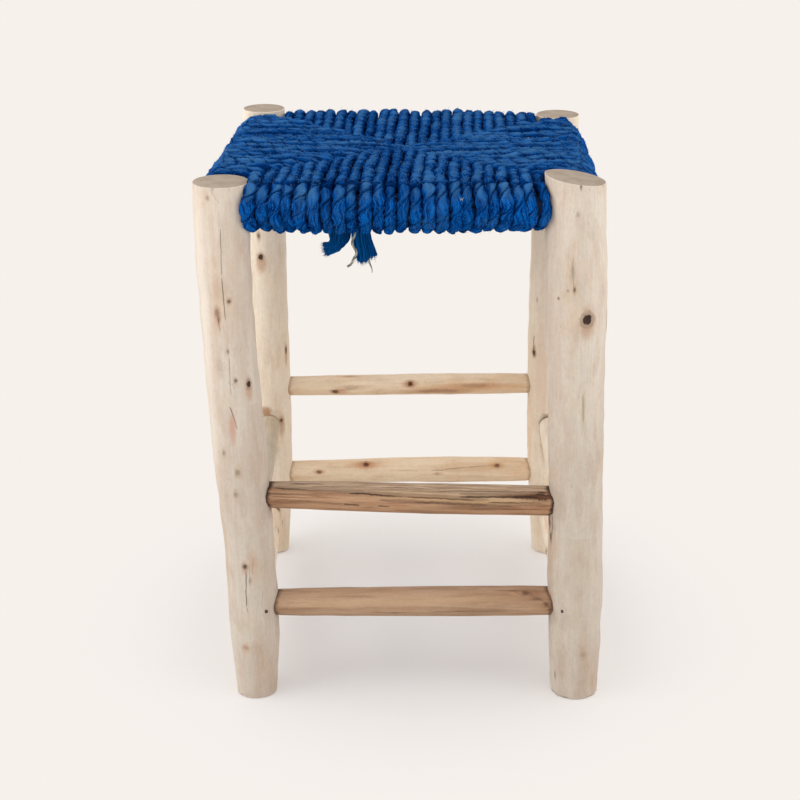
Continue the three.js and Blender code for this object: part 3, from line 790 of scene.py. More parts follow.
def sink_knot(piece, centre, size, length, depth):
    """A dent with a raised lip, where a branch left the pole. The faces there are made finer first."""
    centre = np.array(centre)
    pick(piece)
    reach = np.linalg.norm((points_of(piece) - centre) / (1, 1, length), axis=1)
    near = set(np.nonzero(reach < DENT_REACH * size)[0].tolist())
    bpy.ops.object.mode_set(mode="EDIT")
    bpy.ops.mesh.select_mode(type="FACE")
    bpy.ops.mesh.select_all(action="DESELECT")
    bpy.ops.object.mode_set(mode="OBJECT")
    for face in piece.data.polygons:
        face.select = all(v in near for v in face.vertices)
    bpy.ops.object.mode_set(mode="EDIT")
    bpy.ops.mesh.subdivide(number_cuts=2, smoothness=0)
    bpy.ops.object.mode_set(mode="OBJECT")
    points = points_of(piece)
    away = (points - centre) / (1, 1, length)
    share = np.linalg.norm(away, axis=1) / size
    inward = -np.array((centre[0], centre[1], 0))
    inward /= np.linalg.norm(inward)
    dent = np.where(share < 1, 0.5 + 0.5 * np.cos(np.pi * np.minimum(share, 1)), 0)
    lip = np.exp(-(((share - LIP_PLACE) / LIP_WIDTH) ** 2)) * LIP_HEIGHT
    put_points(piece, points + ((dent - lip) * depth)[:, None] * inward)


def saw_off(piece, point, normal, rim):
    """A saw cut: the end beyond the plane goes, the cut is closed, and its rim is eased."""
    pick(piece)
    bpy.ops.object.mode_set(mode="EDIT")
    bpy.ops.mesh.select_mode(type="FACE")
    bpy.ops.mesh.select_all(action="SELECT")
    bpy.ops.mesh.bisect(plane_co=point, plane_no=normal, use_fill=True, clear_outer=True)
    bpy.ops.mesh.bevel(offset=rim, segments=2, affect="EDGES")
    bpy.ops.object.mode_set(mode="OBJECT")
    way = Vector(normal).normalized()
    for face in piece.data.polygons:
        on_cut = abs((face.center - Vector(point)).dot(way)) < 0.4 * rim
        if face.normal.dot(way) > 0.95 and on_cut:
            face.material_index = SAWN_FACE


def smooth_pole(piece):
    pick(piece)
    bpy.ops.object.shade_smooth_by_angle(angle=SHARP_ANGLE)


def woods(*colours):
    return [paint(*colour) for colour in colours]


# Colours of the woods: light, dark, patches, hearts of knots, stains round them
PALE = woods((233, 220, 204), (188, 164, 142), (214, 190, 171), (58, 38, 28), (190, 142, 106))
CREAM = woods((250, 234, 212), (206, 178, 148), (234, 210, 184), (74, 44, 28), (184, 132, 86))
AMBER = woods((246, 222, 191), (200, 162, 124), (228, 196, 160), (98, 56, 34), (198, 130, 80))
TAN = woods((190, 156, 126), (138, 104, 78), (176, 138, 106), (88, 62, 46), (150, 106, 74))
BROWN = woods((194, 152, 117), (108, 72, 50), (172, 124, 88), (66, 40, 26), (168, 108, 64))
GREYED = woods((210, 194, 172), (160, 142, 114), (194, 176, 148), (96, 62, 36), (168, 124, 82))
# Painted shade: the rails' dark blue, seen only in the gaps between strands
RAIL_SHADE_TONES = woods((26, 50, 92), (16, 34, 66), (22, 44, 82), (14, 24, 44), (20, 36, 64))
SAWN = woods((182, 167, 151), (160, 143, 126))

# The legs' wood is a little darker towards the floor, partly soiled by feet and mops and partly painted
# shade for the light that falls off there: between which heights, and its tint
SHADE_AND_SOIL_HEIGHTS = (430 * MM, 140 * MM)
SHADE_AND_SOIL = (0.82, 0.815, 0.81, 1)
LEG_SINK = 12 * MM
# The wood's marks are spread over materials by height, and sawn faces are told apart by a number past those
WOOD_ZONES = (-LEG_SINK, 165 * MM, 290 * MM, 400 * MM, 1)
MARK_REACH = 12 * MM
SAWN_FACE = 10
# Marks from this size on, in millimetres, are stains right through the wood rather than spots on its skin
THROUGH_MARK = 8

# Knots of each leg: height, turn, size, length along the grain, halo, trail, strength, depth of the dent
LEG_KNOTS = {
    "front_left": [
        (384, 12, 1.5, 1, 2.2, 0, 0.7, 0.3), (374, -15, 1.9, 1.9, 2.2, 0.5, 0.45, 0),
        (368, -12, 1.2, 2.2, 2, 0, 0.4, 0), (308.5, 42, 2, 1.7, 2.6, 1.2, 1, 0.6),
        (313.5, 13, 1.4, 1.2, 2, 0.5, 0.65, 0), (339.7, 2, 0.9, 1.9, 2, 0, 0.5, 0),
        (228.5, -2, 2.1, 1.2, 2.2, -0.5, 0.32, 0.35), (207.2, -12, 2.1, 1, 2.2, 0.4, 0.28, 0.35),
        (137.1, -8, 2, 1.2, 2.4, 0.5, 0.8, 0.35), (246.2, -29, 1.3, 1.8, 2.2, 0, 0.42, 0),
        (472.5, -22, 1.4, 1.2, 2, 0, 0.35, 0), (483, -10, 1, 1.5, 2, 0, 0.3, 0),
        (54.8, -18, 3, 0.7, 2.2, 0, 0.25, 0), (123, 2, 1.2, 2.2, 2, 0, 0.3, 0),
        (327, -19, 3, 2.2, 1.6, 0, 0.14, 0), (197, 90, 13.2, 1, 1.15, 0, 0.36, 0),
        (90.5, 90, 12.6, 1, 1.15, 0, 0.2, 0),
    ],
    "front_right": [
        (368.6, 16, 4.4, 1.15, 2.3, 0.7, 1, 1.2), (394.6, -8, 1, 1.9, 2.2, 0, 0.7, 0),
        (385.5, -39, 1, 1, 2, 0, 0.6, 0), (393.5, -20, 1, 0.8, 2, 0, 0.35, 0),
        (410, -11, 1.8, 3.6, 1.8, 0, 0.24, 0), (458.7, -1, 1.4, 1.4, 2.4, 0, 0.25, 0),
        (482, 5, 0.9, 1.8, 1.6, 0, 0.5, 0), (47.9, 15, 3, 1, 2.2, 0, 0.2, 0),
        (362, 77, 1, 7, 1.4, 0, 0.6, 0), (172, -80, 3.4, 1, 1.7, 0, 0.6, 0.6),
        (160, -70, 1.5, 2.6, 2.2, 1.6, 0.6, 0.4), (20, -57, 0.9, 4, 2, 0, 0.4, 0),
        (190, -90, 14.6, 1, 1.15, 0, 0.36, 0), (91.5, -90, 14, 1, 1.15, 0, 0.22, 0),
        (120, 175, 2.2, 1.5, 2.6, 0.8, 0.9, 0.5), (330, 160, 1.6, 1.6, 2.6, 0, 0.7, 0.3),
    ],
    "back_left": [
        (355.6, -14, 1.5, 1.7, 2.2, 0, 0.7, 0.3), (334, -9, 2.5, 1.2, 2.9, 1.9, 1, 0.6),
        (231, 60, 1.6, 2.6, 2.2, 1, 0.8, 0.4), (153.5, 3, 10, 1.05, 1.3, 0, 0.3, 0),
        (156, 34, 1.7, 1, 2.4, 0.5, 0.9, 0), (126, 14, 4, 2.5, 1.6, 0, 0.2, 0),
        (53.5, 21, 1.8, 1.3, 2.6, 1.6, 0.95, 0.4), (300, 150, 2.2, 1.5, 2.8, 0.8, 0.8, 0.6),
        (180, -160, 1.8, 1.6, 2.6, 0, 0.7, 0.4), (410, 200, 1.4, 1.6, 2.6, 0, 0.6, 0.3),
    ],
    "back_right": [
        (151, -3, 10.6, 1.05, 1.15, 0, 0.34, 0), (229, -50, 2.2, 1.5, 2, -0.6, 0.95, 0.4),
        (286.8, -43, 1, 2, 2, 0, 0.3, 0), (340, 170, 2.1, 1.5, 2.8, 0.8, 0.8, 0.6),
        (120, 140, 1.6, 1.6, 2.6, 0, 0.7, 0.4), (430, 190, 1.3, 1.8, 2.6, 0, 0.6, 0.3),
    ],
}
# Cracks of each leg: height and turn at both ends, width, strength
LEG_CRACKS = {
    "front_left": [
        (447, 2, 405, 0, 0.5, 0.55), (405, 0, 367, 2, 0.55, 0.62), (335, 3, 298, 0, 0.45, 0.4),
        (290, -4, 268, 7, 0.5, 0.6), (133, -7, 96, -11, 0.5, 0.75), (96, -11, 91, -8, 0.4, 0.5),
        (372, -14, 357, -11, 0.4, 0.5), (146, 12, 129, 9, 0.4, 0.35), (140, 3, 118, 0, 0.35, 0.3),
        (112, 28, 96, 25, 0.35, 0.3), (480, -16, 468, 3, 0.3, 0.3),
    ],
    "front_right": [
        (340, 4, 301, 8, 0.45, 0.15), (301, 8, 276, 10, 0.7, 0.28), (182, -61, 152, -67, 0.9, 0.6),
        (24, -60, 1, -69, 0.6, 0.6), (372, 80, 352, 73, 0.6, 0.6), (423, -11, 396, -10, 0.4, 0.3),
        (486, 4, 478, 5, 0.4, 0.5), (163, -72, 150, -74, 0.7, 0.5), (300, 170, 220, 176, 0.5, 0.6),
    ],
    "back_left": [(40, 38, 12, 40, 0.6, 0.5), (420, 170, 330, 165, 0.6, 0.5), (223, 59, 214, 58, 0.5, 0.5)],
    "back_right": [(248, -51, 230, -50, 0.8, 0.7), (300, 150, 210, 158, 0.6, 0.5)],
}
# Soft stains of each leg, and painted shade and painted highlight down the front left leg's sides: height,
# turn, size, length, halo, trail, strength, colour
LEG_STAINS_AND_SHADES = {
    "front_left": [
        (274, -3, 2.4, 2.8, 1.8, 0.6, 0.8, (208, 162, 142)),
        (138, 12, 2.6, 2.6, 1.9, 0, 0.4, (204, 160, 126)),
        # Painted shade: these four darken the leg's right side, away from the key light
        (360, 34, 5, 7, 1.8, 0, 0.34, (198, 174, 154)),
        (250, 40, 5, 8, 1.8, 0, 0.34, (196, 172, 152)),
        (150, 44, 5, 8, 1.8, 0, 0.3, (192, 168, 148)),
        (420, 30, 5, 6, 1.8, 0, 0.28, (202, 180, 160)),
        # Painted highlight: these two lighten the leg's left side, towards the key light
        (400, -52, 5, 7, 1.8, 0, 0.5, (240, 230, 216)),
        (300, -56, 5, 8, 1.8, 0, 0.4, (238, 228, 214)),
        (396, -12, 2.4, 2, 1.9, 0, 0.4, (208, 166, 142)),
        (372, -16, 2.4, 1.4, 1.9, 0, 0.5, (206, 162, 132)),
        (229.5, -5, 1.4, 1.5, 1.8, 0.6, 0.5, (176, 162, 124)),
        (209, -13, 1.4, 1.4, 1.8, -0.5, 0.45, (176, 162, 124)),
        (445, -16, 2.4, 3, 1.9, 0, 0.3, (212, 178, 156)),
        (330, -26, 2.2, 3.5, 1.9, 0, 0.3, (212, 180, 158)),
        (368, -18, 3, 3, 1.9, 0, 0.25, (206, 176, 154)),
        (180, -20, 3.6, 2.6, 1.9, 0, 0.22, (204, 180, 162)),
        (54, -18, 2.2, 1.2, 1.9, 0, 0.4, (208, 160, 120)),
        (240, 14, 3.4, 4, 1.8, 0, 0.2, (204, 176, 158)),
    ],
    "front_right": [
        (330, -12, 2.6, 4, 1.9, 0, 0.3, (206, 184, 156)),
        (287, 9, 1.4, 6, 1.7, 0, 0.6, (196, 176, 134)),
        (172, -84, 3.6, 1.2, 1.9, 0, 0.7, (168, 96, 66)),
        (250, -16, 4, 3, 1.9, 0, 0.22, (206, 186, 164)),
        (150, 4, 7, 4, 1.9, 0, 0.34, (198, 176, 152)),
    ],
    "back_left": [
        (167, -8, 5, 0.55, 1.7, 0, 0.8, (176, 126, 80)),
        (150, 36, 3, 1.8, 1.8, 0, 0.5, (176, 130, 88)),
    ],
    "back_right": [
        (140, -14, 3.4, 4, 1.8, 0, 0.5, (170, 126, 88)),
        (180, -24, 5, 8, 1.8, 0, 0.45, (228, 196, 172)),
    ],
}


def lay_marks(name, tables, top, upright, skin, dent):
    """Knots, cracks, stains and painted shades of a pole, laid on its skin. A knot that has a depth is
    dented too.
    """
    knots, cracks, stains_and_shades = [], [], []
    knot_table, crack_table, stain_and_shade_table = (table.get(name, []) for table in tables)
    for along, turn, size, length, *shape, depth in knot_table:
        along, out = min(along * MM, top), way_out(turn, upright)
        centre = skin(along, turn)
        if depth:
            dent(centre, along, size * MM, length, depth * MM)
        knots.append((centre, out if size < THROUGH_MARK else Vector(), size * MM, length, *shape))
    for first, first_turn, last, last_turn, width, strength in crack_table:
        ends = skin(first * MM, first_turn), skin(last * MM, last_turn)
        cracks.append((*ends, way_out((first_turn + last_turn) / 2, upright), width * MM, strength))
    for along, turn, size, *shape, colour in stain_and_shade_table:
        stains_and_shades.append((skin(along * MM, turn), way_out(turn, upright), size * MM, *shape, paint(*colour)))
    return knots, cracks, stains_and_shades


def make_leg(name, leg, seed):
    top = leg_height(leg)
    heights = [-LEG_SINK] + [height * MM for height in FOOT_RINGS]
    heights += np.linspace(heights[-1] + RING_STEP, top + LEG_SINK, round(top / RING_STEP)).tolist()
    rings = []
    for height in heights:
        dx, dy, dr = dice.normal(0, LEG_UNEVEN, 3)
        centre, radius = leg_centre(leg, height), leg_radius(leg, height) * RING_SPARE
        rings.append((centre + Vector((dx, dy, 0)), radius + dr))
    foot = leg_centre(leg, 0)
    pole = raise_pole(name + "_leg", rings)
    apply_modifier(pole, "SUBSURF", levels=2, render_levels=2)
    pole.location = -foot
    settle(pole)
    work_over(pole, name + "_swell", *LEG_SWELL, seed)
    work_over(pole, name + "_knife", *LEG_KNIFE, seed + 3)
    whittle_foot(pole, leg, seed)

    def skin(height, turn):
        return way_out(turn) * leg_radius(leg, height) + (leg_centre(leg, height) - foot)

    def dent(centre, height, *shape):
        """The knot is sunk with the leg's axis at that height moved to the middle."""
        shift = np.array((*(leg_centre(leg, height) - foot).xy, 0))
        put_points(pole, points_of(pole) - shift)
        sink_knot(pole, np.array(centre) - shift, *shape)
        put_points(pole, points_of(pole) + shift)

    marks = lay_marks(name, (LEG_KNOTS, LEG_CRACKS, LEG_STAINS_AND_SHADES), top, True, skin, dent)
    pole.location = foot
    settle(pole)
    head = leg_centre(leg, top)
    saw_off(pole, head, (leg["fall"] / leg["diameter"], 0, 1), HEAD_RIM)
    saw_off(pole, foot, -UP, FOOT_RIM)
    hew(pole, foot, -UP)
    smooth_pole(pole)
    axis = Matrix.Translation(foot)
    # Front legs take the full darkening towards the floor, partly painted shade; back legs a little of it
    tones, shade_and_soil = (PALE, 1.0) if name.startswith("front") else (CREAM, 0.3)
    finish_piece(pole, sawn_wood(name + "_sawn", head, *SAWN), "pale_wood", "leg_" + name)
    for zone, (low, high) in enumerate(zip(WOOD_ZONES[:-1], WOOD_ZONES[1:])):
        floor, ceiling = low - MARK_REACH, high + MARK_REACH
        near = [
            [mark for mark in kind if mark[0].z > floor and mark[last].z < ceiling]
            for last, kind in zip((0, 1, 0), marks)
        ]
        wood = pole_wood(f"{name}_wood_{zone + 1}", axis, tones, *LEG_GRAIN, near, PLAIN_RELIEF, shade_and_soil=shade_and_soil)
        pole.data.materials.append(wood)
        for face in pole.data.polygons:
            if face.material_index != SAWN_FACE and low <= face.center.z < high:
                face.material_index = zone + 1
    for face in pole.data.polygons:
        face.material_index %= SAWN_FACE
    return pole


def whittle_foot(pole, leg, seed):
    """Long flat cuts round the foot, from a hand's breadth up down to the floor."""
    for turn in np.linspace(0, 2 * math.pi, FOOT_CUTS, endpoint=False) + seed:
        turn += dice.normal(0, 0.14)
        start = dice.uniform(*CUT_START) * MM
        low, high = leg_radius(leg, 0) * dice.uniform(0.95, 0.99), leg_radius(leg, start) * 0.985
        out = Vector((math.sin(turn), -math.cos(turn), 0))
        hew(pole, out * low, out * start - UP * (high - low))


# Knots of each stretcher: distance along, turn, size, length, halo, trail, strength, depth
STRETCHER_KNOTS = {
    "front_upper": [
        (262, 37, 3, 4, 1.6, 0, 1, 1.1), (247, 36, 1.4, 9, 1.8, 0, 0.85, 0.4),
        (262, 58, 1.1, 4, 1.8, 0, 0.8, 0),
    ],
    "front_lower": [
        (246, 60, 2.6, 1.5, 2.4, 0, 0.5, 1.1), (256, 34, 1.2, 4, 2.2, 0, 0.4, 0.4),
        (265, 12, 2.2, 1.4, 2.2, 0, 0.5, 1), (236, 70, 1.2, 4, 2.2, 0, 0.4, 0),
        (268, -12, 1.4, 1.6, 2.2, 0, 0.5, 0.6), (128.2, -25, 0.8, 5, 2, 0, 0.5, 0),
    ],
    "back_upper": [
        (68.6, -18, 2.3, 1.5, 2.2, -1.5, 0.9, 0.5), (147, 24, 2.5, 1.2, 2.2, 0, 1, 0.5),
        (86, 8, 1.8, 5, 2, 0, 0.3, 0), (84, 78, 1.6, 5, 2, 0, 0.3, 0),
        (176, -20, 2.6, 9, 2.2, 0, 0.38, 0),
        (214, 10, 2, 8, 2, 0, 0.35, 0), (200, 170, 1.8, 1.8, 2.8, 0, 0.8, 0.4),
    ],
    "back_lower": [
        (101.2, 56, 2.5, 1.2, 2.6, 0, 0.95, 0.6), (51.5, 18, 1.7, 1.5, 2.2, 0, 0.8, 0.4),
        (240, 42, 1.9, 1.4, 2.6, 0, 0.8, 0.4), (176.4, 5, 1.4, 2, 2, 0, 0.35, 0),
        (120, 160, 1.8, 1.8, 2.8, 0, 0.8, 0.4),
    ],
    "left_upper": [(110, 20, 1.7, 1.8, 2.8, 0, 0.8, 0.4), (200, 200, 1.6, 1.8, 2.8, 0, 0.8, 0.4)],
    "left_lower": [(150, 160, 1.7, 1.8, 2.8, 0, 0.8, 0.4), (230, 10, 1.4, 1.8, 2.8, 0, 0.7, 0.3)],
    "right_upper": [(140, 190, 1.7, 1.8, 2.8, 0, 0.8, 0.4), (60, 30, 1.4, 1.8, 2.8, 0, 0.7, 0.3)],
    "right_lower": [(190, 175, 1.8, 1.8, 2.8, 0, 0.8, 0.4), (90, 20, 1.4, 1.8, 2.8, 0, 0.7, 0.3)],
}
# Cracks and dark streaks of each stretcher: distance and turn at both ends, width, strength
STRETCHER_CRACKS = {
    "front_upper": [
        (27, 54, 93, 37, 0.7, 0.85), (93, 37, 144, 26, 0.8, 0.9), (144, 26, 203, 20, 0.6, 0.6),
        (40, 80, 110, 76, 0.6, 0.8), (120, 66, 200, 70, 0.5, 0.6), (88, -8, 102, -11, 1, 0.7),
        (118, -10, 128, -12, 0.9, 0.6), (150, 8, 215, 2, 0.6, 0.5), (190, 30, 262, 36, 0.9, 0.85),
        (215, 12, 266, 14, 0.6, 0.7), (60, 20, 130, 8, 0.5, 0.4), (225, -12, 264, -10, 0.5, 0.5),
        (20, 54, 110, 40, 3.4, 0.3), (105, 38, 215, 22, 2.6, 0.36), (120, 12, 235, 0, 1.8, 0.4),
        (28, 2, 130, -12, 1.4, 0.3), (20, 30, 80, 24, 1.2, 0.5), (190, 42, 268, 40, 3, 0.28),
        (228, 8, 268, 4, 1.6, 0.3), (60, 66, 160, 62, 0.8, 0.45), (170, 56, 262, 60, 0.8, 0.5),
        (24, 18, 70, 12, 0.8, 0.45),
    ],
    "front_lower": [
        (30, 22, 80, 26, 0.4, 0.3), (110, -22, 150, -20, 0.45, 0.5), (160, -18, 230, -20, 0.5, 0.45),
        (218, 70, 243, 66, 0.5, 0.6), (243, 66, 252, 54, 0.6, 0.4), (250, 50, 262, 24, 0.7, 0.3),
        (262, 24, 270, -16, 0.7, 0.3), (240, 54, 236, 62, 0.5, 0.4),
    ],
    "back_upper": [(90, -4, 60, -12, 0.5, 0.35)],
    "back_lower": [
        (170, 18, 208, 34, 0.45, 0.5), (208, 34, 238, 43, 0.45, 0.5), (137, 20, 170, 18, 0.4, 0.3),
    ],
}
# Flats left by splitting and hewing: turn in degrees, share of the radius left
STRETCHER_FLATS = {
    "front_upper": [
        (62, 0.86), (112, 0.9), (20, 0.93), (-28, 0.96), (-75, 0.97), (165, 0.9), (215, 0.92), (262, 0.9),
    ],
    "front_lower": [(80, 0.95), (-40, 0.95), (200, 0.94)],
}
# Soft light bands and stains of the stretchers: distance, turn, size, length, halo, trail, strength, colour
STRETCHER_STAINS = {
    "front_upper": [
        (150, 30, 3, 12, 1.6, 0, 0.5, (206, 170, 128)),
        (215, 16, 2.6, 10, 1.6, 0, 0.55, (208, 174, 130)),
        (200, -30, 2.4, 12, 1.6, 0, 0.3, (198, 156, 122)),
        (60, 6, 2.2, 12, 1.6, 0, 0.35, (196, 152, 116)),
        (90, 30, 1.6, 12, 1.6, 0, 0.4, (126, 78, 54)),
        (245, -8, 1.8, 8, 1.6, 0, 0.4, (150, 92, 64)),
    ],
    "front_lower": [
        (60, 20, 3, 12, 1.8, 0, 0.3, (206, 172, 136)),
        (170, 30, 3, 10, 1.8, 0, 0.35, (200, 166, 128)),
        (245, 40, 4.4, 2.4, 2, 0, 0.3, (140, 100, 72)),
        (238, 62, 2.4, 1.2, 1.9, 0, 0.5, (206, 162, 122)),
        (254, 50, 2.4, 1.2, 1.9, 0, 0.45, (150, 104, 74)),
    ],
    "back_upper": [
        (205, 4, 3, 9, 1.8, 0, 0.5, (212, 152, 98)),
        (176, -24, 2, 9, 1.8, 0, 0.4, (196, 132, 82)),
        (40, 30, 3, 6, 1.8, 0, 0.3, (214, 190, 156)),
    ],
    "back_lower": [
        (100, 52, 3.4, 2.4, 1.9, 0, 0.5, (204, 146, 102)),
        (214, 30, 3, 8, 1.8, 0, 0.35, (206, 168, 124)),
    ],
}
STRETCHER_TONES = {
    "front_upper": BROWN, "front_lower": TAN, "left_upper": GREYED,
    "back_upper": AMBER, "back_lower": AMBER,
}
# Darkening where a stretcher meets its legs: how strong, and its colour
STRETCHER_JOINT_DARK = {
    "front_upper": (0.95, paint(62, 42, 32)), "front_lower": (0.75, paint(92, 66, 48)),
    "left_upper": (0.85, paint(150, 104, 62)), "right_upper": (0.95, paint(112, 76, 50)),
}
PLAIN_JOINT_DARK = (0.5, paint(150, 118, 86))
# How strong a stretcher's streaks are, and how deep the marks of the knife and the grain, in millimetres
STRETCHER_SURFACES = {"front_upper": (0.75, 0.8, 0.7), "front_lower": (0.6, 0.35, 0.35)}
PLAIN_SURFACE = (0.3, 0.35, 0.35)
STRETCHER_FLECKS = 0.3
STRETCHER_SLOTS = {"front_upper": "dark_wood", "front_lower": "tan_wood"}
# The seam along the split stretcher: its turn at the start, and how far it turns in a metre
SEAM_START = math.radians(56)
SEAM_TURN = math.radians(170)


def weathered_top(spot, colour, height):
    """The greyed strip along the top of the split stretcher, above the seam that runs down it."""
    x, y, z = parts_of(spot)
    turn = sum_of("ARCTAN2", times(x, -1.0), times(y, -1.0))
    seam = minus(SEAM_START, times(z, SEAM_TURN))
    ragged = times(noise_of(stretched(spot, (1, 1, 0.1)), 140.0, 3.0), 0.5)
    above = minus(plus(turn, ragged), plus(seam, 0.25))
    lines = noise_of(stretched(spot, (1, 1, 0.03)), 900.0, 3.0, 0.7)
    grey = blend(spread(lines, 0.35, 0.62), paint(220, 194, 164), paint(156, 128, 102))
    colour = blend(spread(above, -0.02, 0.1, 0.0, 0.75), colour, grey)
    height = plus(height, times(lines, 0.5))
    return colour, height


def pole_matrix(pole):
    """The frame of a lying pole: its length along Z, its underside towards X."""
    along = pole["along"]
    beside = along.cross(-UP).normalized()
    down = beside.cross(along).normalized()
    turn = Matrix((down, beside, along)).transposed().to_4x4()
    return Matrix.Translation(pole["start"]) @ turn


def make_stretcher(name, seed):
    ends, heights, diameter, girth = STRETCHERS[name]
    pole = pole_between(ends, [height * MM for height in heights])
    walls, whole, radius = pole["walls"], pole["length"], diameter * MM / 2
    near, far = walls[0] - SHOULDER_DEPTH, whole - walls[1] + SHOULDER_DEPTH
    body_start, body_end = walls[0] / 2, whole - walls[1] / 2
    tip, tip_radius = TENON_REACH + TENON_TIP, TENON_RADIUS * TENON_TAPER
    rings = [(TENON_REACH, tip_radius), (tip, TENON_RADIUS)]
    rings += [(near - SHOULDER_SLOPE, TENON_RADIUS), (near, TENON_RADIUS)]
    count = round((far - near) / RING_STEP)
    for distance in np.linspace(near + SHOULDER_SLOPE / 2, far - SHOULDER_SLOPE / 2, count):
        stout = radius * girth_at(girth, (distance - body_start) / (body_end - body_start)) * RING_SPARE
        rings.append((distance, stout + dice.normal(0, STRETCHER_UNEVEN)))
    rings += [(far, TENON_RADIUS), (far + SHOULDER_SLOPE, TENON_RADIUS)]
    rings += [(whole - tip, TENON_RADIUS), (whole - TENON_REACH, tip_radius)]
    bend = dice.normal(0, STRETCHER_BEND, 2)
    placed = []
    for distance, ring_radius in rings:
        bow = math.sin(math.pi * distance / whole)
        placed.append((Vector((bend[0] * bow, bend[1] * bow, distance)), ring_radius))
    piece = raise_pole(name + "_stretcher", placed)
    apply_modifier(piece, "SUBSURF", levels=2, render_levels=2)
    for turn, share in STRETCHER_FLATS.get(name, []):
        out = way_out(turn, upright=False)
        hew(piece, out * radius * share, out)
    streaks, knife, relief = STRETCHER_SURFACES.get(name, PLAIN_SURFACE)
    work_over(piece, name + "_swell", *STRETCHER_SWELL, seed)
    work_over(piece, name + "_knife", *STRETCHER_KNIFE, knife * MM, seed + 3)

    def skin(distance, turn):
        share = (distance - body_start) / (body_end - body_start)
        return Vector(on_pole(radius * girth_at(girth, share), distance, turn, upright=False))

    def dent(centre, _, *shape):
        sink_knot(piece, centre, *shape)

    tables = STRETCHER_KNOTS, STRETCHER_CRACKS, STRETCHER_STAINS
    marks = lay_marks(name, tables, whole, False, skin, dent)
    axis = pole_matrix(pole)
    piece.matrix_world = axis
    settle(piece)
    smooth_pole(piece)
    tones, joint_dark = STRETCHER_TONES.get(name, CREAM), STRETCHER_JOINT_DARK.get(name, PLAIN_JOINT_DARK)
    wood = pole_wood(
        name + "_wood", axis, tones, streaks, STRETCHER_FLECKS, marks, relief * MM,
        ((0.0, walls[0]), (whole, walls[1])), joint_dark, weathered_top if name == "front_upper" else None,
    )
    return finish_piece(piece, wood, STRETCHER_SLOTS.get(name, "pale_wood"), "stretcher_" + name)


# The seat's winding
RAIL_ENDS = {
    "front": ("front_left", "front_right"), "back": ("back_left", "back_right"),
    "left": ("front_left", "back_left"), "right": ("front_right", "back_right"),
}
RAILS = {side: pole_between(ends, (RAIL_HEIGHT, RAIL_HEIGHT)) for side, ends in RAIL_ENDS.items()}
for rail in RAILS.values():
    rail["pitch"] = (rail["length"] - sum(rail["walls"])) / (2 * ROUNDS)
    rail["middle"] = rail["walls"][0] + ROUNDS * rail["pitch"]
OUTWARD = {
    "front": Vector((0, -1, 0)), "back": Vector((0, 1, 0)),
    "left": Vector((-1, 0, 0)), "right": Vector((1, 0, 0)),
}
# Each corner: the leg, the rail passed first, and the rail whose strand lies over it
CORNERS = [
    ("front_left", "left", "front"), ("back_left", "back", "left"),
    ("back_right", "right", "back"), ("front_right", "front", "right"),
]


def strand_place(rail, leg, turn):
    from_wall = (turn + 0.5) * rail["pitch"]
    if rail["ends"][0] == leg:
        return rail["walls"][0] + from_wall
    return rail["length"] - rail["walls"][1] - from_wall


def on_rail(side, leg, turn):
    rail = RAILS[side]
    return rail["start"] + rail["along"] * strand_place(rail, leg, turn)


def crossing(leg, first, second, turn):
    """Where the two strands of one round cross: on the line from the corner to the seat's middle."""
    across, along = (second, first) if first in ("left", "right") else (first, second)
    outer = Vector((on_rail(across, leg, 0).x, on_rail(along, leg, 0).y, RAIL_HEIGHT))
    middle = sum((r["start"] + r["along"] * r["middle"] for r in RAILS.values()), Vector()) / 4
    pitch = min(r["pitch"] for r in RAILS.values())
    inner = middle + (OUTWARD[first] + OUTWARD[second]) * pitch / 2
    return outer.lerp(inner, turn / (ROUNDS - 1))


def rail_pass(side, leg, turn, start, dive, aside):
    """Points of one pass over a rail, each with the cord's size, the strand's tone and its way out."""
    rail, outward = RAILS[side], OUTWARD[side]
    place_along = strand_place(rail, leg, turn)
    axis = rail["start"] + rail["along"] * place_along
    fan_side = (place_along - rail["middle"]) / (ROUNDS * rail["pitch"])
    half_span = RAILS["left" if side in ("front", "back") else "front"]["length"] / 2
    dip = SEAT_DIP * (axis - start).length / half_span
    shift, proud = dice.normal(0, PASS_SHIFT), dice.normal(0, PASS_PROUD)
    tone, thickness = dice.normal(0, 1), 1 + dice.normal(0, PASS_THICKNESS)
    heap = dice.normal(*PASS_HEAP, len(RUN_SHARES))
    points = []

    def point(at, out, size=1.0):
        points.append((*at, size * thickness, tone, *out))

    point(start + aside - outward * dive + UP * (WRAP_RADIUS - dip - DIVE_DEPTH), UP, DIVE_SIZE)
    point(start + UP * (WRAP_RADIUS - dip), UP, RUN_SIZE)
    for share, high in zip(RUN_SHARES, heap):
        level = WRAP_RADIUS - dip * (1 - share) ** 1.2 + high
        point(start.lerp(axis, share) + UP * level + rail["along"] * shift * share, UP)
    for step in range(WRAP_POINTS + 1):
        angle = math.pi / 2 - step * math.pi / WRAP_POINTS
        way = outward * math.cos(angle) + UP * math.sin(angle)
        fan = FAN_OUT * fan_side * max(math.cos(angle), 0) ** FAN_POWER + shift
        swell = 1 + WRAP_SWELL * max(math.cos(angle), 0)
        point(axis + way * (WRAP_RADIUS + proud * math.cos(angle)) + rail["along"] * fan, way, swell)
    under = rail["along"] * UNDER_SHIFT
    for share in reversed(RUN_SHARES):
        point(start.lerp(axis, share) - UP * WRAP_RADIUS + rail["along"] * shift * share + under, -UP)
    point(start - UP * WRAP_RADIUS + under * 0.6, -UP, RUN_SIZE)
    point(start - outward * dive + UP * (DIVE_DEPTH - WRAP_RADIUS), -UP, DIVE_SIZE)
    return points


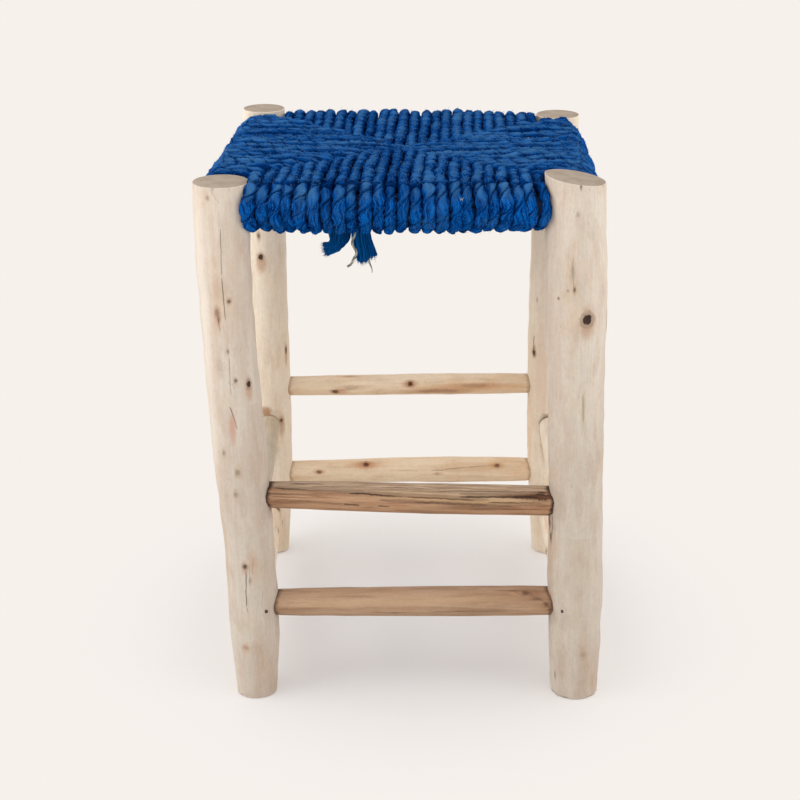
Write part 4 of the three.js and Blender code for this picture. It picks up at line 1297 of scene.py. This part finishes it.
def seat_lean(points):
    """How far the seat's cord lies above or below its level, front to back and left to right."""
    back, right = points[:, 1] / LEG_SPAN_Y + 0.5, points[:, 0] / LEG_SPAN_X + 0.5
    return FRONT_LIFT - back * (FRONT_LIFT + BACK_DROP + RIGHT_DROP * right)


def winding():
    points = []
    for turn in range(ROUNDS):
        for leg, first, second in CORNERS:
            meeting = crossing(leg, first, second, turn)
            step = (crossing(leg, first, second, turn - 1) - meeting).dot(OUTWARD[first])
            short = meeting + OUTWARD[first] * step
            aside = OUTWARD[second] * ARRIVAL_OFFSET
            points += rail_pass(first, leg, turn, short, step - FIRST_DIVE, aside)
            points += rail_pass(second, leg, turn, meeting, SECOND_DIVE, Vector())
    return points


def slow_noise(count, every):
    """Smooth random values, one new value every few samples."""
    knots = dice.normal(0, 1, count // every + 3)
    at = np.arange(count) / every
    cell, share = at.astype(int), at % 1
    share = share * share * (3 - 2 * share)
    return knots[cell] * (1 - share) + knots[cell + 1] * share


def wander(normals, sides_way, every):
    """A slow random way off a line, to both of its sides."""
    count = len(normals)
    return slow_noise(count, every)[:, None] * normals + slow_noise(count, every)[:, None] * sides_way


# Loose fibres: how thick, how many on each piece of fluff, and how long they are
HAIR_RADIUS = 0.13 * MM
FLUFF_PIECES = 2
FLUFF_HAIRS = 17000
FLUFF_LENGTH = (0.7 * MM, 2.8 * MM)
FLUFF_CREST = 0.5
FLUFF_RISE = (0.1, 0.8)
FLUFF_TURN = 0.35
ROOT_DEPTH = 0.2 * MM
# How a hair bends: to the sides, and out or in; and where its middle ring is
HAIR_BEND = 0.35
HAIR_DROOP = (-0.4, 0.3)
HAIR_MIDDLE = 0.55
# How far in from the seat's middle the rim begins, along x and y
RIM_REACH = (130 * MM, 138 * MM)


def grow_hairs(name, roots, outs, ways, lengths, material, slot="blue_cord", radius=HAIR_RADIUS):
    """Loose fibres: three-sided, drawn to a point, rising from the skin and bending as they go."""
    count = len(roots)
    bends = dice.normal(0, HAIR_BEND, (count, 3)) + outs * dice.uniform(*HAIR_DROOP, (count, 1))
    across = unit(np.cross(ways, outs))
    lift = unit(np.cross(ways, across))
    points = np.empty((count, 7, 3))
    for ring, share in enumerate((0, HAIR_MIDDLE)):
        middle = roots + (ways * share + bends * share**2) * lengths[:, None]
        for corner in range(3):
            angle = math.tau * corner / 3
            side = across * math.cos(angle) + lift * math.sin(angle)
            points[:, 3 * ring + corner] = middle + side * radius * (1 - 0.4 * share)
    points[:, 6] = roots + (ways + bends) * lengths[:, None]
    pattern = [(2, 1, 0), (3, 4, 6), (4, 5, 6), (5, 3, 6), (0, 1, 4, 3), (1, 2, 5, 4), (2, 0, 3, 5)]
    faces = [tuple(7 * hair + corner for corner in face) for hair in range(count) for face in pattern]
    piece = mesh_piece(name, points.reshape(-1, 3), faces)
    give_values(piece, "tone", np.repeat(dice.uniform(0, 1, count), 7))
    return finish_piece(piece, material, slot)


def give_values(piece, label, values):
    attribute = piece.data.attributes.new(label, "FLOAT", "POINT")
    attribute.data.foreach_set("value", values.astype(np.float32))


def on_show(roots, outs):
    """Which places on the cord's skin show: on top of the seat, or round its rim."""
    shown = (roots[:, 2] > SEAT_TOP) & (outs[:, 2] > 0.2)
    for axis, reach in enumerate(RIM_REACH):
        side = np.sign(roots[:, axis])
        shown |= (np.abs(roots[:, axis]) > reach) & (outs[:, axis] * side > 0.2)
    return shown


def grow_fluff(skins, material):
    """Short fibres all over what shows of the seat."""
    chosen = []
    for rings, crests in skins:
        middles = rings.mean(axis=1)
        tries = FLUFF_PIECES * FLUFF_HAIRS // 2
        ring = dice.integers(0, len(rings) - 1, tries)
        place_round = dice.integers(0, rings.shape[1], tries)
        roots, proud = rings[ring, place_round], crests[ring, place_round] > FLUFF_CREST
        outs = unit(roots - middles[ring])
        ways = unit(middles[ring + 1] - middles[ring])
        chosen.append(np.hstack([roots, outs, ways])[on_show(roots, outs) & proud])
    chosen = dice.permutation(np.vstack(chosen))
    for k in range(FLUFF_PIECES):
        roots, outs, ways = np.hsplit(chosen[k * FLUFF_HAIRS : (k + 1) * FLUFF_HAIRS], 3)
        count = len(roots)
        ways = ways * dice.choice([-1, 1], (count, 1)) + outs * dice.uniform(*FLUFF_RISE, (count, 1))
        ways += dice.normal(0, FLUFF_TURN, (count, 3))
        lengths = dice.uniform(*FLUFF_LENGTH, count)
        grow_hairs(f"seat_fluff_{k + 1}", roots - outs * ROOT_DEPTH, outs, ways, lengths, material)


def show_core(material):
    """Small flecks where the pale core breaks through the blue yarns."""
    places = np.repeat(np.array(CORE_FLECKS, float) * MM, CORE_HAIRS, axis=0)
    count = len(places)
    places += dice.normal(0, CORE_SPREAD, (count, 3))
    outs = np.tile((0.0, -0.5, 0.85), (count, 1))
    ways = dice.normal(0, 0.7, (count, 3)) + outs * 0.7
    lengths = dice.uniform(*CORE_LENGTH, count) * MM
    grow_hairs("core_flecks", places, outs, ways, lengths, material, "grey_twine", 2 * HAIR_RADIUS)


def make_seat_cord(material, fluff_material):
    line, travelled = smooth_line(winding(), CORD_STEP)
    size, tone, ways_out = line[:, 3], line[:, 4], line[:, 5:]
    line = line[:, :3]
    line[:, 2] += seat_lean(line)
    count = len(line)
    line[1:-1] = (line[:-2] + 2 * line[1:-1] + line[2:]) / 4
    normals, sides_way = carried_frames(line)
    line = line + wander(normals, sides_way, WANDER_STEPS) * CORD_WANDER
    size = size * (1 + CORD_SPREAD * slow_noise(count, SIZE_STEPS))
    pace = TWIST_LENGTH * np.clip(1 + TWIST_SPREAD * slow_noise(count, WANDER_STEPS), 0.6, 1.5)
    turn = np.cumsum(2 * math.pi * CORD_STEP / pace)
    outward = np.arctan2((ways_out * sides_way).sum(axis=1), (ways_out * normals).sum(axis=1))
    turn -= PLY_DWELL * np.sin(2 * (turn - outward))
    squeezed = 1 - PLY_SQUEEZE * np.sin(turn - outward) ** 2
    cuts = [round(count * k / CORD_PIECES) for k in range(CORD_PIECES + 1)]
    skins = []
    for k, (start, stop) in enumerate(zip(cuts[:-1], cuts[1:])):
        part = slice(start, min(stop + 1, count))
        points, crests, faces, caps = [], [], [], []
        for ply in (0, 1):
            stout, wide = (1 + PLY_SPREAD * slow_noise(count, PLY_STEPS)[part] for _ in range(2))
            radial = PLY_RADIAL * size[part] * squeezed[part] * stout
            rings = tube_rings(
                line[part], normals[part], sides_way[part], turn[part] + math.pi * ply,
                PLY_OFFSET * size[part] * squeezed[part], radial, PLY_ACROSS * size[part] * wide, PLY_SIDES,
            )
            quads, ends = tube_faces(len(rings), PLY_SIDES, sum(len(p) for p in points))
            points.append(rings.reshape(-1, 3))
            crests.append(((rings - line[part, None]) * ways_out[part, None]).sum(axis=2) / CREST)
            skins.append((rings, crests[-1]))
            faces += quads
            caps += ends
        piece = mesh_piece(f"seat_cord_{k + 1}", np.vstack(points), faces + caps)
        wrap_cord_map(piece, travelled[part])
        give_values(piece, "tone", np.tile(np.repeat(tone[part], PLY_SIDES), 2))
        give_values(piece, "crest", np.vstack(crests).ravel())
        finish_piece(piece, material, "blue_cord", "seat_cord")
    grow_fluff(skins, fluff_material)


def wrap_cord_map(piece, travelled):
    """A map round and along each ply, in metres and slanted as the yarns lie."""
    rings = len(travelled)
    section = 2 * math.pi * (PLY_RADIAL + PLY_ACROSS) / 2 / PLY_SIDES
    row, column = np.meshgrid(np.arange(rings - 1), np.arange(PLY_SIDES), indexing="ij")
    corners = [(0, 0), (0, 1), (1, 1), (1, 0)]
    along = np.stack([travelled[row + r] - travelled[0] for r, c in corners], -1)
    around = np.stack([(column + c) * section for r, c in corners], -1) + YARN_SHEAR * along
    plies = [np.stack([around + ply * 0.5, along], -1).reshape(-1, 2) for ply in (0, 1)]
    caps = np.zeros((4 * PLY_SIDES, 2))
    layer = piece.data.uv_layers.new(name="along_cord")
    layer.data.foreach_set("uv", np.vstack(plies + [caps]).astype(np.float32).ravel())


def cord_material():
    """Cotton cord: yarns that lie aslant on the plies, tufts, worn patches, a painted sheen on the crests
    on top, and painted shade in the creases.
    """
    material, tree, shader = new_material("blue_cotton", Roughness=1.0, Specular_IOR_Level=0.0)
    flat = place(tree, "ShaderNodeUVMap", uv_map="along_cord").outputs[0]
    tone, crest, spot = value_of(tree, "tone"), value_of(tree, "crest"), object_place(tree)
    yarns = noise_of(stretched(flat, (1, 0.1, 1)), 560.0, 3.0, 0.6)
    fibres = noise_of(stretched(flat, (1, 0.22, 1)), 1500.0, 2.0, 0.7)
    tufts = noise_of(spot, 620.0, 3.0, 0.7)
    wear_and_sheen = noise_of(spot, 45.0, 3.0, 0.6)
    share = plus(spread(yarns, 0.36, 0.64, 0.0, 0.8), spread(fibres, 0.3, 0.7, -0.25, 0.35), clamp=True)
    colour = blend(share, COTTON_DARK, COTTON_LIGHT)
    upright = parts_of(spot)[2]
    # Crests on top of the seat: partly wear from sitting, partly painted sheen
    wear_and_top_sheen = times(spread(upright, SEAT_TOP, SEAT_TOP + 12 * MM, 0.0, 0.54), spread(crest, 0.75, 1.1))
    wear_and_sheen = plus(spread(wear_and_sheen, 0.45, 0.75, 0.0, 0.3), wear_and_top_sheen)
    colour = blend(wear_and_sheen, colour, COTTON_WEAR_AND_SHEEN)
    colour = blend(spread(tone, -2.2, 2.2, 0.0, 0.3), colour, COTTON_TONED)
    colour = blend(spread(tufts, 0.58, 0.7, 0.0, 0.45), colour, COTTON_TUFT)
    on_top = spread(upright, SEAT_TOP, SEAT_TOP + 10 * MM)
    sunk = minus(crest, times(on_top, 0.4))
    # Painted shade in the creases: the further below its strand's crest, the darker, and more so on top of
    # the seat
    crease_shade = times(spread(sunk, 0.85, 0.05), plus(0.3, times(on_top, 0.5)))
    height = plus(plus(times(yarns, 1.2), times(fibres, 0.4)), times(tufts, 0.5))
    dress(shader, blend(crease_shade, colour, COTTON_CREASE_SHADE), height, COTTON_RELIEF)
    return material


def fibre_material(name, dark, light):
    """Single yarns and loose fibres, each with a tone of its own."""
    material, tree, shader = new_material(name, Roughness=1.0, Specular_IOR_Level=0.0)
    fibres = noise_of(object_place(tree), 1200.0, 3.0, 0.7)
    share = plus(times(value_of(tree, "tone"), 0.6), spread(fibres, 0.3, 0.7, 0.0, 0.4))
    dress(shader, blend(share, paint(*dark), paint(*light)), fibres, 0.3 * MM)
    return material


def under_front_rail():
    """The place that the loose ends are given from: under the lowest strands, amid the front rail."""
    rail = RAILS["front"]
    hang = rail["start"] + rail["along"] * rail["length"] / 2
    return Vector((0, hang.y, hang.z - WRAP_RADIUS - CORD_DIAMETER / 2 - 0.3 * MM))


def join_tubes(name, tubes, tones):
    """One piece of several tubes, each with a tone of its own."""
    faces, values, first = [], [], 0
    for rings, tone in zip(tubes, tones):
        count, sides, _ = rings.shape
        quads, caps = tube_faces(count, sides, first)
        faces += quads + caps
        values.append(np.full(count * sides, tone))
        first += count * sides
    piece = mesh_piece(name, np.vstack([rings.reshape(-1, 3) for rings in tubes]), faces)
    give_values(piece, "tone", np.concatenate(values))
    return piece


def make_frayed_end(name, node, guides, yarn_material, fluff_material):
    """A cord's end come undone: yarns that fan out between given guides, with torn tips."""
    table, origin = np.array(guides, float), np.array(under_front_rail())
    yarns, tones, tips = [], [], []
    for yarn in range(FRAYED_YARNS):
        share = (yarn + dice.uniform(0, 1)) / FRAYED_YARNS * (len(guides) - 1)
        cell = min(int(share), len(guides) - 2)
        route = table[cell] * (cell + 1 - share) + table[cell + 1] * (share - cell)
        depth = FRAYED_DEPTH + dice.uniform(-1, 1) * np.linspace(*FRAYED_SPREAD, len(route))
        route = np.column_stack([route[:, 0], depth, route[:, 1]]) * MM + origin
        line, _ = smooth_line(route, FRAYED_STEP)
        line = line[: len(line) - dice.integers(0, 4)]
        count = len(line)
        normals, sides_way = carried_frames(line)
        loose = YARN_WANDER * np.linspace(0, 1, count)[:, None]
        line = line + wander(normals, sides_way, YARN_STEPS) * loose
        none, radius = np.zeros(count), np.full(count, dice.uniform(*YARN_RADIUS) * MM)
        radius[-1] *= 0.5
        yarns.append(tube_rings(line, normals, sides_way, none, none, radius, radius, YARN_SIDES))
        tones.append(dice.uniform(0, 1))
        tips.append(np.hstack([line[-3:], normals[-3:], np.gradient(line, axis=0)[-3:] / FRAYED_STEP]))
    finish_piece(join_tubes(name, yarns, tones), yarn_material, "blue_cord", node)
    roots, outs, ways = np.hsplit(np.vstack(tips), 3)
    ways = ways + dice.normal(0, TIP_TURN, (len(roots), 3))
    lengths = dice.uniform(*TIP_LENGTH, len(roots)) * MM
    grow_hairs(name + "_hairs", roots, outs, ways, lengths, fluff_material)


# Strand of grey core twine, and the tuft beside it
def lay_twine(name, route, girths):
    """Thin plies turned round each other along a route, thick to thin."""
    route = [under_front_rail() + Vector(point) * MM for point in route]
    line, travelled = smooth_line(route, TWINE_STEP)
    normals, sides_way = carried_frames(line)
    girth = np.linspace(*girths, len(line))
    aside, radius = TWINE_PLY[0] * girth, TWINE_PLY[1] * girth
    plies = []
    for ply in range(TWINE_PLIES):
        turn = math.tau * (travelled / TWINE_LAY + ply / TWINE_PLIES)
        plies.append(tube_rings(line, normals, sides_way, turn, aside, radius, radius, TWINE_SIDES))
    return join_tubes(name, plies, np.linspace(0, 1, TWINE_PLIES)), route, line, travelled


def make_twine(material):
    girths = TWINE_DIAMETER, TWINE_DIAMETER
    piece, route, line, travelled = lay_twine("hanging_twine", TWINE_ROUTE, girths)
    finish_piece(piece, material, "grey_twine", "core_twine")
    tuple(route[0])
    tuft, *_ = lay_twine("core_tuft", CORE_TUFT, [girth * MM for girth in CORE_TUFT_GIRTH])
    finish_piece(tuft, material, "grey_twine")


# Nails
NAIL_EDGE = 0.08 * MM
# Where the hammer's dents begin, how deep they are, and how many go to a metre, in radians
DENTS_FROM = 0.5 * MM
DENT_DEPTH = 0.05 * MM
DENT_WAVES = (2600, 2100)
# Heights and radii from the point to the top of the head, in millimetres
NAIL_RINGS = [
    (-29.1, 0.15), (-27, 1), (-0.2, 1), (0, 1.65), (0.2, 1.8), (0.6, 1.78), (0.85, 1.4), (0.95, 0.7),
]


def make_nail(material):
    """One nail, point down along Z, with a flat domed head that the hammer has marked."""
    nail = raise_pole("nail", [(UP * height * MM, radius * MM) for height, radius in NAIL_RINGS])
    apply_modifier(nail, "BEVEL", width=NAIL_EDGE, segments=2, limit_method="ANGLE")
    points = points_of(nail)
    dents = np.sin(points[:, 0] * DENT_WAVES[0]) * np.cos(points[:, 1] * DENT_WAVES[1]) * DENT_DEPTH
    points[:, 2] += np.where(points[:, 2] > DENTS_FROM, dents, 0)
    put_points(nail, points)
    smooth_pole(nail)
    nail.data.materials.append(material)
    return nail


def drive_nails(nail):
    for name in NAILED:
        ends, heights, *_ = STRETCHERS[name]
        pole = pole_between(ends, [height * MM for height in heights])
        across = Vector((pole["along"].y, -pole["along"].x, 0)).normalized()
        if across.dot(pole["start"] + pole["along"] * pole["length"] / 2) < 0:
            across.negate()
        for which, distance in enumerate((NAIL_INSET, pole["length"] - NAIL_INSET)):
            depth = math.sqrt(pole["walls"][which] ** 2 - NAIL_INSET**2)
            head = pole["start"] + pole["along"] * distance + across * (depth - NAIL_SINK)
            label = f"{name}_at_{ends[which]}"
            copy = add_object("driven_" + label, nail.data.copy())
            turn = across.to_track_quat("Z", "Y").to_matrix().to_4x4()
            spin = Matrix.Rotation(dice.uniform(0, 6), 4, "Z")
            copy.matrix_world = Matrix.Translation(head) @ turn @ spin
            settle(copy)
            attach(copy, BODY)
            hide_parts("nail_" + label)
    bpy.data.objects.remove(nail)


def nail_material():
    """Dull dark steel with a brown bloom of rust and bright rubbed spots."""
    material, tree, shader = new_material("nail_steel", Metallic=0.75)
    rust = noise_of(object_place(tree), 900.0, 4.0, 0.65)
    rubbed = noise_of(object_place(tree), 2200.0, 2.0, 0.6)
    colour = blend(spread(rust, 0.42, 0.62), paint(88, 86, 88), paint(100, 76, 62))
    colour = blend(spread(rubbed, 0.6, 0.75, 0.0, 0.5), colour, paint(132, 128, 126))
    dress(shader, colour, rust, 0.15 * MM, spread(rust, 0.35, 0.65, 0.45, 0.8))
    return material


# Rails: inside the cord, painted dark blue as shade where they show between the strands
def dress_rails():
    for side, rail in RAILS.items():
        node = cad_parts["rail_" + side]
        node.data.materials.clear()
        name, unmarked = side + "_rail_wood", ([], [], [])
        wood = pole_wood(name, pole_matrix(rail), RAIL_SHADE_TONES, *RAIL_GRAIN, unmarked, PLAIN_RELIEF)
        node.data.materials.append(wood)


# Stage and light
WORLD_LIGHT = 0.82
AIM = Vector((0, 0, 250 * MM))
# Soft boxes: place in metres, width, power; and the soft light from above
SOFTBOXES = [
    ("key_softbox", (-1.75, -0.5, 1.2), 1.6, 17.0),
    ("fill_softbox", (1.75, -0.5, 0.95), 1.6, 8.5),
]
OVERHEAD_LIGHT = 0.3
OVERHEAD_WIDTH = math.radians(70)
FLOOR_SIZE = 12
# The floor lies this far under the feet
FLOOR_DROP = 0.1 * MM
FLOOR = paint(233, 230, 229)
FLOOR_BOUNCE = paint(220, 217, 214)
# For the camera, the floor passes into the backdrop: its share under the stool, and where a third is left
FLOOR_THICK = 0.85
FLOOR_REACH = 0.265


def seeing_rays(tree):
    """The share of rays that see the background as it is: the camera's, off metal and through glass."""
    rays = place(tree, "ShaderNodeLightPath").outputs
    seen = plus(rays["Is Camera Ray"], rays["Is Glossy Ray"])
    return plus(seen, rays["Is Transmission Ray"], clamp=True)


def bare_tree(data):
    """The node tree of a world or a material, with nothing in it yet."""
    data.use_nodes = True
    data.node_tree.nodes.clear()
    return data.node_tree


def set_stage():
    bpy.context.scene.view_settings.view_transform = "Standard"
    world = bpy.data.worlds.new("studio")
    bpy.context.scene.world = world
    tree = bare_tree(world)
    light = place(tree, "ShaderNodeBackground", {"Color": (1, 1, 1, 1), "Strength": WORLD_LIGHT}).outputs[0]
    shown = place(tree, "ShaderNodeBackground", {"Color": BACKDROP, "Strength": 1.0}).outputs[0]
    mixed = place(tree, "ShaderNodeMixShader", {0: seeing_rays(tree), 1: light, 2: shown}).outputs[0]
    place(tree, "ShaderNodeOutputWorld", {"Surface": mixed})
    bpy.ops.mesh.primitive_plane_add(size=FLOOR_SIZE, location=(0, 0, -FLOOR_DROP))
    floor = bpy.context.object
    floor.name = "floor"
    material = bpy.data.materials.new("pale_floor")
    tree = bare_tree(material)
    seen = seeing_rays(tree)
    colour = blend(seen, FLOOR_BOUNCE, FLOOR)
    away = length_of(object_place(tree))
    matt = place(tree, "ShaderNodeBsdfDiffuse", {"Color": colour}).outputs[0]
    beyond = place(tree, "ShaderNodeEmission", {"Color": BACKDROP, "Strength": 1.0}).outputs[0]
    far = sum_of("POWER", ratio(away, FLOOR_REACH), 4.0)
    thick = ratio(FLOOR_THICK, sum_of("EXPONENT", far))
    share = times(seen, minus(1.0, thick))
    mixed = place(tree, "ShaderNodeMixShader", {0: share, 1: matt, 2: beyond}).outputs[0]
    place(tree, "ShaderNodeOutputMaterial", {"Surface": mixed})
    floor.data.materials.append(material)


def set_lamps():
    for name, spot, width, power in SOFTBOXES:
        data = bpy.data.lights.new(name, "AREA")
        data.size = width
        data.energy = power
        lamp = add_object(name, data)
        lamp.location = spot
        lamp.rotation_euler = (Vector(spot) - AIM).to_track_quat("Z", "Y").to_euler()
    data = bpy.data.lights.new("overhead_softbox", "SUN")
    data.energy = OVERHEAD_LIGHT
    data.angle = OVERHEAD_WIDTH
    add_object("overhead_softbox", data)


set_camera()
twine_material = fibre_material("grey_twine", *TWINE_TONES)
make_twine(twine_material)
set_stage()
set_lamps()
GRAIN, KNOT, CRACK = grain_group(), knot_group(), crack_group()
fluff = fibre_material("cotton_fluff", *FLUFF_TONES)
frayed = fibre_material("frayed_cotton", *FRAYED_SHADED_TONES)
make_seat_cord(cord_material(), fluff)
for side, guides in FRAYED_ENDS.items():
    make_frayed_end("frayed_end_" + side, "cord_end_" + side, guides, frayed, fluff)
show_core(fibre_material("cotton_core", *CORE_TONES))
dress_rails()
for number, (name, leg) in enumerate(LEGS.items()):
    make_leg(name, leg, 1 + number)
for number, name in enumerate(STRETCHERS):
    make_stretcher(name, 10 + number)
drive_nails(make_nail(nail_material()))
